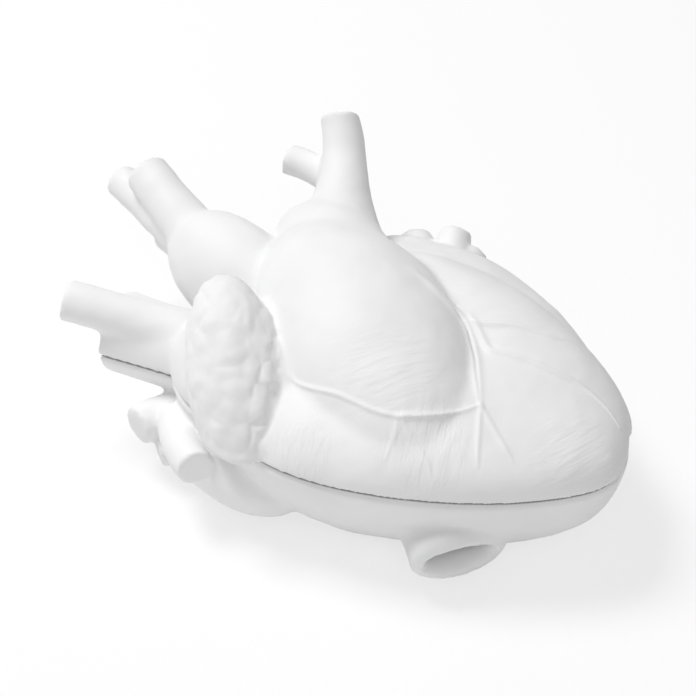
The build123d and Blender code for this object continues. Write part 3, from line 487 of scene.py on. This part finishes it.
def worked_copy(node, name):
    """A merged copy of a CAD node, free of the frame."""
    piece = bpy.data.objects.new(name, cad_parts[node].data.copy())
    bpy.context.scene.collection.objects.link(piece)
    piece.data.materials.clear()
    pick(piece)
    bpy.ops.mesh.customdata_custom_splitnormals_clear()
    return edited(piece, (bpy.ops.mesh.remove_doubles, {"threshold": WELD}))


def modified(piece, kind, **settings):
    """Adds a modifier to a piece and applies it."""
    pick(piece)
    modifier = piece.modifiers.new(kind.title(), kind)
    for key, value in settings.items():
        setattr(modifier, key, value)
    bpy.ops.object.modifier_apply(modifier=modifier.name)


def smoothed(piece, group, steps, factor=0.5):
    """Smooths a piece where its vertex group weighs."""
    modified(piece, "SMOOTH", factor=factor, iterations=steps, vertex_group=group)


def remeshed(piece, grain):
    """Melts a piece into one even skin."""
    modified(piece, "REMESH", mode="VOXEL", voxel_size=grain, use_smooth_shade=True)


def settled(piece):
    """Puts a piece's place into its mesh."""
    pick(piece)
    bpy.ops.object.transform_apply(location=True, rotation=True, scale=True)
    return piece


def copied(piece):
    """A copy of a settled piece, with its own mesh."""
    twin = piece.copy()
    twin.data = piece.data.copy()
    bpy.context.scene.collection.objects.link(twin)
    return twin


def joined(piece, others):
    """Joins other pieces to this one."""
    pick(piece, *others)
    bpy.ops.object.join()
    return piece


def fitted(piece, name, body, material):
    """Gives a finished piece its name, body, slot and finish."""
    piece.name = name
    pick(piece)
    bpy.ops.object.shade_smooth_by_angle(angle=SHARP_ANGLE)
    piece.data.materials.clear()
    piece.data.materials.append(material)
    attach(piece, body)
    return piece


def places_of(piece):
    """A piece's points and their normals, in rows of metres."""
    places = numpy.empty(len(piece.data.vertices) * 3)
    normals = numpy.empty(len(piece.data.vertices) * 3)
    piece.data.vertices.foreach_get("co", places)
    piece.data.vertices.foreach_get("normal", normals)
    return places.reshape(-1, 3), normals.reshape(-1, 3)


def put_points(piece, places):
    """Puts a piece's points at new places."""
    piece.data.vertices.foreach_set("co", places.ravel())
    piece.data.update()


def eased(values, low, high):
    """0 at low, 1 at high, eased between."""
    share = numpy.clip((values - low) / (high - low), 0, 1)
    return share * share * (3 - 2 * share)


def rounded(points, cuts=3):
    """A line's points in mm, with its corners cut until it is smooth, in metres."""
    line = numpy.array(points) * MM
    for _ in range(cuts):
        early = line[:-1] * 0.75 + line[1:] * 0.25
        late = line[:-1] * 0.25 + line[1:] * 0.75
        line = numpy.vstack([line[:1], numpy.stack([early, late], axis=1).reshape(-1, 3), line[-1:]])
    return line


def away_from(places, line):
    """How far each place is from a line, in metres, and the share of the line that lies before it."""
    nearest = numpy.full(len(places), numpy.inf)
    passed = numpy.zeros(len(places))
    for index, (start, end) in enumerate(zip(line, line[1:])):
        run = end - start
        share = numpy.clip((places - start) @ run / (run @ run), 0, 1)
        gap = numpy.linalg.norm(places - start - share[:, None] * run, axis=1)
        closer = gap < nearest
        nearest[closer] = gap[closer]
        passed[closer] = (index + share[closer]) / (len(line) - 1)
    return nearest, passed


def weigh(piece, name, weights):
    """Gives a piece a vertex group from a weight for each point."""
    group = piece.vertex_groups.new(name=name)
    for index in numpy.nonzero(weights > FAINT)[0]:
        group.add([int(index)], float(weights[index]), "REPLACE")


# ---------------------------------------------------------------- the porcelain
def skin_tree(piece):
    """A piece's skin, ready to find its nearest point or where a ray meets it."""
    return BVHTree.FromObject(piece, bpy.context.evaluated_depsgraph_get())


def outer_skin(piece):
    """How much each point of the lid belongs to its outer skin, away from the seam."""
    places, _ = places_of(piece)
    skin = eased(places[:, 2] - SEAM, *LINING_FADE)
    tree = skin_tree(piece)
    for index in numpy.nonzero(skin)[0]:
        way = Vector(places[index]) - HEART_MIDDLE
        _, _, _, reached = tree.ray_cast(HEART_MIDDLE, way.normalized())
        if reached is None or reached > way.length - LINING_DEPTH:
            skin[index] = 0  # seen from inside the case, so it is lining
    return skin


def lines_on(piece):
    """The skin's lines, laid on a shell: each line, its half width and its height."""
    tree = skin_tree(piece)
    for points, reach, height in SKIN_LINES.values():
        line = numpy.array([tree.find_nearest(Vector(point))[0] for point in rounded(points)])
        yield line, reach * MM, height * MM


def refine_near_lines(piece):
    """Divides a shell's faces near the skin's lines, so that narrow arteries keep their shape."""
    centres = numpy.array([face.center for face in piece.data.polygons])
    near = numpy.zeros(len(centres), dtype=bool)
    for line, reach, _ in lines_on(piece):
        near |= away_from(centres, line)[0] < LINE_DETAIL * reach
    pick(piece)
    bpy.ops.object.mode_set(mode="EDIT")
    bpy.ops.mesh.select_all(action="DESELECT")
    bpy.ops.object.mode_set(mode="OBJECT")
    piece.data.polygons.foreach_set("select", near)
    bpy.ops.object.mode_set(mode="EDIT")
    bpy.ops.mesh.subdivide(number_cuts=1, smoothness=0)
    bpy.ops.object.mode_set(mode="OBJECT")


def near_ends(places):
    """How near each place is to a vessel's cut end: 1 at the end, 0 away from it."""
    gaps = [numpy.linalg.norm(places - numpy.array(end) * MM, axis=1) for end in VESSEL_ENDS]
    return 1 - eased(numpy.min(gaps, axis=0), *VESSEL_END_FADE)


def unevenness(places):
    """Soft hand-made unevenness of a skin, in metres."""
    return numpy.array([
        sum(noise.noise(Vector(place) / (size * MM)) * height for size, height in SWELLINGS)
        for place in places
    ]) * MM


def raise_relief(piece):
    """The auricle's lumps, the skin's unevenness, and its arteries, ridges and groove."""
    places, normals = places_of(piece)
    skin = outer_skin(piece)
    offset = places - numpy.array(AURICLE_MIDDLE)
    length = offset @ numpy.array(AURICLE_LENGTHWAYS)
    width = numpy.linalg.norm(offset - length[:, None] * numpy.array(AURICLE_LENGTHWAYS), axis=1)
    depth = numpy.hypot(length / AURICLE_HALF_LENGTH, width / AURICLE_HALF_WIDTH)
    auricle = skin * (1 - eased(depth, *AURICLE_FADE))
    noise.seed_set(SWAY_SEED)
    heights = numpy.zeros(len(places))
    for index in numpy.nonzero(auricle > FAINT)[0]:
        place = Vector(places[index])
        place -= AURICLE_LENGTHWAYS * place.dot(AURICLE_LENGTHWAYS) * LUMP_STRETCH
        sway = noise.noise_vector(place / SWAY_SIZE) * LUMP_SWAY
        gaps, _ = noise.voronoi((place + sway) / LUMP_SIZE)
        lump = min(gaps[1] - gaps[0], LUMP_FLAT) / LUMP_FLAT
        lump += noise.noise(place / WRINKLE_SIZE) * WRINKLE_HEIGHT
        heights[index] = (lump - 0.5) * auricle[index] * sizes().lump_height
    heights += unevenness(places) * skin
    for line, reach, height in lines_on(piece):
        away, passed = away_from(places, line)
        taper = 1 - LINE_TAPER * eased(passed, *LINE_END)
        start = LINE_START_HEIGHT + (1 - LINE_START_HEIGHT) * eased(passed, *LINE_START)
        heights += numpy.exp(-(away / (reach * taper)) ** 2) * height * taper * start * skin
    put_points(piece, places + normals * heights[:, None])


def finish_porcelain(piece, node, material):
    """Smooth shading, finish and place on the frame."""
    pick(piece)
    bpy.ops.object.shade_smooth_by_angle(angle=RIM_ANGLE)
    piece.data.materials.append(material)
    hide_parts(node)
    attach(piece, node)


class HEART_OT_lid(bpy.types.Operator):
    """Model the porcelain lid with its arteries and its wrinkled auricle"""

    bl_idname = "heart.lid"
    bl_label = "Lid"

    def execute(self, context):
        lid = worked_copy("lid", "porcelain_lid")
        remeshed(lid, sizes().shell_grain)
        places, _ = places_of(lid)
        skin = outer_skin(lid) * (1 - near_ends(places))
        points, reach = SOFT_CREASE
        away, _ = away_from(places, rounded(points))
        rim = 1 - eased(places[:, 2], *LID_EDGE)
        weigh(lid, "skin", skin)
        weigh(lid, "crease", skin * (1 - eased(away, CREASE_CORE * reach * MM, reach * MM)))
        weigh(lid, "edges", numpy.maximum(near_ends(places), rim))
        smoothed(lid, "skin", sizes().blend_steps)
        smoothed(lid, "crease", CREASE_STEPS * sizes().blend_steps)
        modified(lid, "SHRINKWRAP", target=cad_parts["lid"], vertex_group="edges")
        smoothed(lid, "edges", 4)
        refine_near_lines(lid)
        raise_relief(lid)
        smoothed(lid, "skin", 1, 0.3)
        self.level_rim(lid)
        finish_porcelain(lid, "lid", bare_porcelain("bare_porcelain_lid", True))
        return {"FINISHED"}

    def level_rim(self, lid):
        """Lifts the lid's rim to one level over the base, so that the seam is a clean line."""
        places, _ = places_of(lid)
        tree = skin_tree(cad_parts["base"])
        for index in numpy.nonzero(places[:, 2] < SEAM + SEAM_GAP)[0]:
            gap = tree.find_nearest(Vector(places[index]))[3]
            share = 1 - eased(gap, *RIM_BAND)
            places[index, 2] += (SEAM + SEAM_GAP - places[index, 2]) * share
        put_points(lid, places)


class HEART_OT_base(bpy.types.Operator):
    """Model the porcelain base with the lower vein and the vein cluster"""

    bl_idname = "heart.base"
    bl_label = "Base"

    def execute(self, context):
        base = worked_copy("base", "porcelain_base")
        remeshed(base, sizes().shell_grain)
        rim = eased(places_of(base)[0][:, 2], *BASE_EDGE)
        weigh(base, "skin", 1 - rim)
        weigh(base, "edges", rim)
        smoothed(base, "skin", 6)
        modified(base, "SHRINKWRAP", target=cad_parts["base"], vertex_group="edges")
        self.raise_skin(base)
        smoothed(base, "skin", 3)
        smoothed(base, "edges", 4)
        gap = numpy.linalg.norm(places_of(base)[0] - numpy.array(VEIN_MOUTH) * MM, axis=1)
        weigh(base, "lip", 1 - eased(gap, *VEIN_SMOOTH_FADE))
        smoothed(base, "lip", 9)
        finish_porcelain(base, "base", bare_porcelain("bare_porcelain_base", False))
        return {"FINISHED"}

    def raise_skin(self, base):
        """An uneven outer skin, a rim drawn in under the lid and a thick lip on the lower vein."""
        places, normals = places_of(base)
        offset = places - numpy.array(HEART_MIDDLE)
        outwards = numpy.einsum("ij,ij->i", normals, offset) / numpy.linalg.norm(offset, axis=1)
        levels = places[:, 2]
        outer = eased(outwards, *OUTWARD_FACING) * eased(levels, *FOOT_FADE)
        heights = unevenness(places) * outer * (1 - eased(levels, *EVEN_AT_SEAM))
        side = outer * (numpy.abs(normals[:, 2]) < FLAT_FACING) * (levels < SHOULDER)
        heights -= eased(levels, *DRAWN_IN_FADE) * side * RIM_DRAWN_IN
        mouth = numpy.array(VEIN_MOUTH) * MM
        gap = numpy.linalg.norm(places - mouth, axis=1)
        inwards = eased(numpy.einsum("ij,ij->i", normals, mouth - places) / gap, *MOUTH_FACING)
        heights += inwards * (1 - eased(gap, *VEIN_LIP_FADE)) * VEIN_LIP
        put_points(base, places + normals * heights[:, None])


# ---------------------------------------------------------------- the felt
FELT_LENGTH = 32 * MM
FELT_WIDTH = 8 * MM
FELT_EDGE = 0.35 * MM
FELT_GRAIN = 0.3 * MM
FUZZ_HEIGHT = 0.08 * MM
FUZZ_SIZE = 1.4 * MM


class HEART_OT_felt(bpy.types.Operator):
    """Model the two felt strips under the foot"""

    bl_idname = "heart.felt"
    bl_label = "Felt strips"

    def execute(self, context):
        low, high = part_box("foot_pads")
        size = (FELT_LENGTH, FELT_WIDTH, sizes().felt_thickness)
        strips = []
        for x, y in (
            (low.x + FELT_LENGTH / 2, high.y - FELT_WIDTH / 2),
            (high.x - FELT_LENGTH / 2, low.y + FELT_WIDTH / 2),
        ):
            bpy.ops.mesh.primitive_cube_add(size=1, location=(x, y, size[2] / 2), scale=size)
            strip = settled(context.active_object)
            modified(strip, "BEVEL", width=FELT_EDGE, segments=3, limit_method="NONE")
            remeshed(strip, FELT_GRAIN)
            places, normals = places_of(strip)
            fuzz = numpy.array([noise.noise(Vector(place) / FUZZ_SIZE) for place in places])
            put_points(strip, places + normals * (fuzz[:, None] - 1) * FUZZ_HEIGHT)
            strips.append(strip)
        felt = joined(strips[0], strips[1:])
        fitted(felt, "felt_strips", "base", pressed_felt())
        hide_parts("foot_pads")
        return {"FINISHED"}


# ---------------------------------------------------------------- the movement
# Middles of the turned pieces, in mm.
BARREL_CENTRE = (-2, -18, 27)
CYLINDER_CENTRE = (-2, -42, 34.6)
IDLER_CENTRE = (-12.13, -44.3, 28.77)
WORM_CENTRE = (-17.63, -44.3, 28.77)

# The small screws: where they stand, in mm, and how high their heads are.
SMALL_SCREWS = {
    "bridge_screws": ([(-18.2, -18, 33.465), (14.2, -18, 33.465)], 1.3 * MM),
    "bracket_screws": ([(-21.3, -40.8, 22.5), (-9.5, -50.6, 22.5), (0.2, -50.6, 22.5)], 1.1 * MM),
    "comb_screws": ([(20.35, -35.5, 35.115), (20.35, -41.5, 35.115), (20.35, -47.5, 35.115)], 1.3 * MM),
}
HEAD_EDGE = 0.18 * MM
HEAD_ANGLE = math.radians(50)  # a head's edges that turn more than this are rounded
SLOT_WIDTH = 0.42 * MM
SLOT_DEPTH = 0.45 * MM
HEAD_SUNK = 0.05 * MM  # into what it stands on
FIRST_TURN = 0.7  # the angle of a group's first slot, in radians
NEXT_TURN = 1.1  # from each slot to the next

# The comb's weights, from its lowest tooth up.
WEIGHT_COUNT = 8
TOOTH_PITCH = 1.0 * MM
FIRST_WEIGHT = Vector((2.6, 0.62, 1.8)) * MM
WEIGHT_STEP = Vector((0.12, 0, 0.15)) * MM  # how much smaller each next one is
WEIGHT_INSET = 1.8 * MM  # from the comb's tips to the weights' middles
WEIGHT_SUNK = 0.02 * MM
WEIGHT_EDGE = 0.09 * MM

# The worm's thread: two starts of module 0.5.
WORM_LENGTH = 5.0 * MM
WORM_LEAD = math.pi * MM
THREAD_FOOT = 0.85 * MM
THREAD_MIDDLE = 1.2 * MM  # from the shaft's middle to half the thread's height
THREAD_HEIGHT_SHARE = 0.7  # of the foot
THREAD_TIP_SHARE = 0.45  # of the foot
THREAD_STEPS = 32  # in a turn

# The clutch spring's wire.
CLUTCH_WIRE = 0.3 * MM
WIRE_STEPS = 36  # in a turn


def slotted_screw(height):
    """A round screw head with a slot, standing on the origin."""
    radius = sizes().screw_head
    bpy.ops.object.select_all(action="DESELECT")
    bpy.ops.mesh.primitive_cylinder_add(vertices=40, radius=radius, depth=height, location=(0, 0, height / 2))
    head = settled(bpy.context.active_object)
    modified(head, "BEVEL", width=HEAD_EDGE, segments=3, limit_method="ANGLE", angle_limit=HEAD_ANGLE)
    slot = (3 * radius, SLOT_WIDTH, 2 * SLOT_DEPTH)
    bpy.ops.mesh.primitive_cube_add(size=1, location=(0, 0, height), scale=slot)
    cutter = settled(bpy.context.active_object)
    modified(head, "BOOLEAN", object=cutter, operation="DIFFERENCE", solver="EXACT")
    bpy.data.objects.remove(cutter)
    return head


class HEART_OT_screws(bpy.types.Operator):
    """Model the small screws of the bridge, the brackets and the comb"""

    bl_idname = "heart.screws"
    bl_label = "Small screws"

    def execute(self, context):
        steel = turned_metal("screw_head_steel", colours().steel, 0.34, (0, 0, 0), UPRIGHT)
        for name, (places, height) in SMALL_SCREWS.items():
            head = slotted_screw(height)
            copies = []
            for index, place in enumerate(places):
                turned = copied(head)
                turned.data.transform(Matrix.Rotation(FIRST_TURN + NEXT_TURN * index, 4, "Z"))
                turned.data.transform(Matrix.Translation(Vector(place) * MM - Vector((0, 0, HEAD_SUNK))))
                copies.append(turned)
            bpy.data.objects.remove(head)
            fitted(joined(copies[0], copies[1:]), name, "base", steel)
        return {"FINISHED"}


class HEART_OT_weights(bpy.types.Operator):
    """Model the lead weights under the comb's low teeth"""

    bl_idname = "heart.weights"
    bl_label = "Comb weights"

    def execute(self, context):
        low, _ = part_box("comb")
        lead = cast_metal("comb_lead", colours().lead, 0.6)
        weights = []
        for tooth in range(WEIGHT_COUNT):
            size = FIRST_WEIGHT - WEIGHT_STEP * tooth
            y = low.y + (tooth + 0.5) * TOOTH_PITCH
            centre = (low.x + WEIGHT_INSET, y, low.z - size.z / 2 + WEIGHT_SUNK)
            bpy.ops.mesh.primitive_cube_add(size=1, location=centre, scale=size)
            weight = settled(context.active_object)
            modified(weight, "BEVEL", width=WEIGHT_EDGE, segments=2, limit_method="NONE")
            weights.append(weight)
        fitted(joined(weights[0], weights[1:]), "comb_weights", "base", lead)
        return {"FINISHED"}


def helix(name, profile, centre, turns, rise, turn_steps):
    """A closed profile of bare edges, wound round an upright line through a centre."""
    steps = int(turn_steps * turns)
    modified(
        profile, "SCREW",
        angle=turns * math.tau, screw_offset=rise, iterations=1, steps=steps, render_steps=steps, axis="Z",
    )
    edited(
        profile,
        (bpy.ops.mesh.remove_doubles, {"threshold": WELD}),
        (bpy.ops.mesh.fill_holes, {"sides": 0}),
        (bpy.ops.mesh.normals_make_consistent, {"inside": False}),
    )
    profile.data.transform(Matrix.Translation(centre))
    profile.name = name
    return profile


class HEART_OT_worm(bpy.types.Operator):
    """Model the two-start thread of the governor's worm"""

    bl_idname = "heart.worm"
    bl_label = "Worm thread"

    def execute(self, context):
        middle = THREAD_FOOT / 2
        bpy.ops.mesh.primitive_plane_add(
            size=THREAD_FOOT, rotation=(math.pi / 2, 0, 0), location=(THREAD_MIDDLE, 0, middle),
        )
        profile = settled(context.active_object)
        edited(
            profile,
            (bpy.ops.transform.resize, {"value": (THREAD_HEIGHT_SHARE, 1, 1)}),
            (bpy.ops.mesh.delete, {"type": "ONLY_FACE"}),
        )
        for vertex in profile.data.vertices:
            if vertex.co.x > THREAD_MIDDLE:
                vertex.co.z = middle + (vertex.co.z - middle) * THREAD_TIP_SHARE
        rise = WORM_LENGTH - THREAD_FOOT
        centre = Vector(WORM_CENTRE) * MM
        start = centre - Vector((0, 0, WORM_LENGTH / 2))
        thread = helix("worm_thread", profile, start, rise / WORM_LEAD, rise, THREAD_STEPS)
        twin = copied(thread)
        half_turn = Matrix.Rotation(math.pi, 4, "Z")
        twin.data.transform(Matrix.Translation(centre) @ half_turn @ Matrix.Translation(-centre))
        steel = turned_metal("worm_steel", colours().steel, 0.26, WORM_CENTRE, UPRIGHT)
        fitted(joined(thread, [twin]), "worm_thread", "governor", steel)
        return {"FINISHED"}


class HEART_OT_clutch(bpy.types.Operator):
    """Model the closely wound clutch spring round the winding arbor"""

    bl_idname = "heart.clutch"
    bl_label = "Clutch spring"

    def execute(self, context):
        low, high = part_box("clutch_spring")
        mean = (high.x - low.x) / 2 - CLUTCH_WIRE
        bpy.ops.mesh.primitive_circle_add(
            vertices=12, radius=CLUTCH_WIRE, rotation=(math.pi / 2, 0, 0), location=(mean, 0, 0),
        )
        profile = settled(context.active_object)
        middle = (low + high) / 2
        start = Vector((middle.x, middle.y, low.z + CLUTCH_WIRE))
        rise = high.z - low.z - 2 * CLUTCH_WIRE
        coil = helix("clutch_coil", profile, start, rise / (2 * CLUTCH_WIRE), rise, WIRE_STEPS)
        blued = brushed_metal("blued_wire", colours().blued_steel, 0.3, (1, 1, 0.2))
        fitted(coil, "clutch_coil", "base", blued)
        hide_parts("clutch_spring")
        return {"FINISHED"}


def dress(material, *nodes):
    """Gives CAD nodes a finish."""
    for node in nodes:
        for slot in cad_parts[node].material_slots:
            slot.material = material


class HEART_OT_movement(bpy.types.Operator):
    """Give every piece of the movement its finish"""

    bl_idname = "heart.movement"
    bl_label = "Movement finishes"

    def execute(self, context):
        brass = colours().brass
        steel = colours().steel
        blued = colours().blued_steel
        dress(
            cast_metal("satin_cast_brass", mixed(brass, 0.97), 0.42),
            "bedplate", "end_bracket", "governor_bracket", "barrel_bridge",
        )
        dress(
            turned_metal("turned_barrel_brass", brass, 0.28, BARREL_CENTRE, UPRIGHT),
            "spring_barrel", "barrel_cover",
        )
        dress(
            turned_metal("polished_cylinder_brass", mixed(brass, 1.05), 0.2, CYLINDER_CENTRE, SIDEWAYS),
            "cylinder", "cylinder_wheel",
        )
        dress(turned_metal("cut_wheel_brass", brass, 0.3, IDLER_CENTRE, SIDEWAYS), "worm_wheel")
        dress(turned_metal("turned_cylinder_steel", steel, 0.25, CYLINDER_CENTRE, SIDEWAYS), "cylinder_arbor")
        dress(turned_metal("turned_idler_steel", steel, 0.25, IDLER_CENTRE, SIDEWAYS), "idler_arbor")
        dress(turned_metal("turned_winding_steel", steel, 0.3, BARREL_CENTRE, UPRIGHT), "winding_arbor")
        dress(turned_metal("turned_governor_steel", steel, 0.24, WORM_CENTRE, UPRIGHT), "worm_shaft")
        dress(brushed_metal("pin_steel", steel, 0.34, (1, 0.15, 1)), "lever_pivot", "stop_lever")
        dress(brushed_metal("ground_comb_steel", mixed(steel, 1.08), 0.27, (0.08, 1, 1)), "comb")
        dress(brushed_metal("blued_ribbon", blued, 0.3, (1, 1, 0.15)), "mainspring")
        dress(brushed_metal("thin_fan_brass", brass, 0.36, (1, 1, 0.2)), "fan")
        dress(cast_metal("nickel_plate", colours().nickel, 0.22), "winding_key")
        dress(
            turned_metal("zinc_screw_steel", mixed(steel, 0.95), 0.38, (0, 0, 0), UPRIGHT),
            "mounting_screws",
        )
        return {"FINISHED"}


# ---------------------------------------------------------------- the stage
FLOOR_GLOW = 0.66
ROOM_LIGHT = 0.34
LAMPS = {  # place, size and power of each
    "window": ((-0.10, 0.63, 1.25), 0.50, 12.9),
    "fill": ((-0.85, -0.70, 1.0), 0.8, 3.5),
}
LOOK_AT = Vector((6, 0, 30)) * MM
LOOK_BACK = Vector((-0.6118, -0.4610, 0.6428))  # from what is looked at towards the camera
LOOK_FROM = 530.1 * MM


class HEART_OT_stage(bpy.types.Operator):
    """Set the floor, the lamps and the camera"""

    bl_idname = "heart.stage"
    bl_label = "Stage"

    def execute(self, context):
        bpy.ops.mesh.primitive_plane_add(size=2 * sizes().floor_reach)
        floor = context.active_object
        floor.name = "floor"
        floor.data.materials.append(self.floor_paper())
        world = bpy.data.worlds.new("studio")
        context.scene.world = world
        world.use_nodes = True
        world.node_tree.nodes["Background"].inputs["Color"].default_value = (1, 1, 1, 1)
        world.node_tree.nodes["Background"].inputs["Strength"].default_value = ROOM_LIGHT
        for name, (place, size, power) in LAMPS.items():
            self.lamp(name, place, size, power)
        bpy.ops.object.camera_add(location=LOOK_AT + LOOK_BACK * LOOK_FROM)
        camera = context.active_object
        camera.rotation_mode = "QUATERNION"
        camera.rotation_quaternion = (-LOOK_BACK).to_track_quat("-Z", "Y")
        camera.data.lens = 85
        camera.data.clip_start = 0.01
        context.scene.camera = camera
        context.scene.view_settings.view_transform = "Standard"
        return {"FINISHED"}

    def floor_paper(self):
        """White paper that looks bright to the camera and in reflections, and still takes a shadow."""
        paper = Finish("floor_paper", colours().floor, 1.0, specular=0.0)
        seen = paper.node("ShaderNodeLightPath", output="Is Camera Ray")
        mirrored = paper.node("ShaderNodeLightPath", output="Is Glossy Ray")
        through = paper.node("ShaderNodeLightPath", output="Is Transmission Ray")
        glow = paper.node("ShaderNodeEmission", None, {"Strength": 1.0})
        share = (seen + mirrored + through) * FLOOR_GLOW
        surface = Value(paper, paper.shader.outputs[0])
        lit = paper.node("ShaderNodeMixShader", None, {0: share, 1: surface, 2: glow})
        paper.feed(paper.tree.nodes["Material Output"].inputs["Surface"], lit)
        return paper.material

    def lamp(self, name, place, size, power):
        """A square soft lamp that looks at the heart."""
        bpy.ops.object.light_add(type="AREA", location=place)
        lamp = bpy.context.active_object
        lamp.name = name
        lamp.data.size = size
        lamp.data.energy = power
        lamp.rotation_mode = "QUATERNION"
        lamp.rotation_quaternion = (-Vector(place)).to_track_quat("-Z", "Y")


class HEART_PT_panel(bpy.types.Panel):
    """Lists the pieces of the music box"""

    bl_label = "Heart Music Box"
    bl_space_type = "VIEW_3D"
    bl_region_type = "UI"
    bl_category = "Heart Box"

    def draw(self, context):
        for operator in OPERATORS:
            self.layout.operator(operator.bl_idname)


OPERATORS = [
    HEART_OT_lid, HEART_OT_base, HEART_OT_felt, HEART_OT_screws, HEART_OT_weights,
    HEART_OT_worm, HEART_OT_clutch, HEART_OT_movement, HEART_OT_stage,
]
CLASSES = [HeartSizes, HeartColours, *OPERATORS, HEART_PT_panel]


def register():
    for cls in CLASSES:
        bpy.utils.register_class(cls)
    bpy.types.Scene.heart_sizes = PointerProperty(type=HeartSizes)
    bpy.types.Scene.heart_colours = PointerProperty(type=HeartColours)


def unregister():
    del bpy.types.Scene.heart_colours
    del bpy.types.Scene.heart_sizes
    for cls in reversed(CLASSES):
        bpy.utils.unregister_class(cls)


def main():
    """Makes the whole music box."""
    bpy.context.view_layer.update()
    register()
    for operator in OPERATORS:
        group, name = operator.bl_idname.split(".")
        getattr(getattr(bpy.ops, group), name)()


if __name__ == "__main__":
    main()
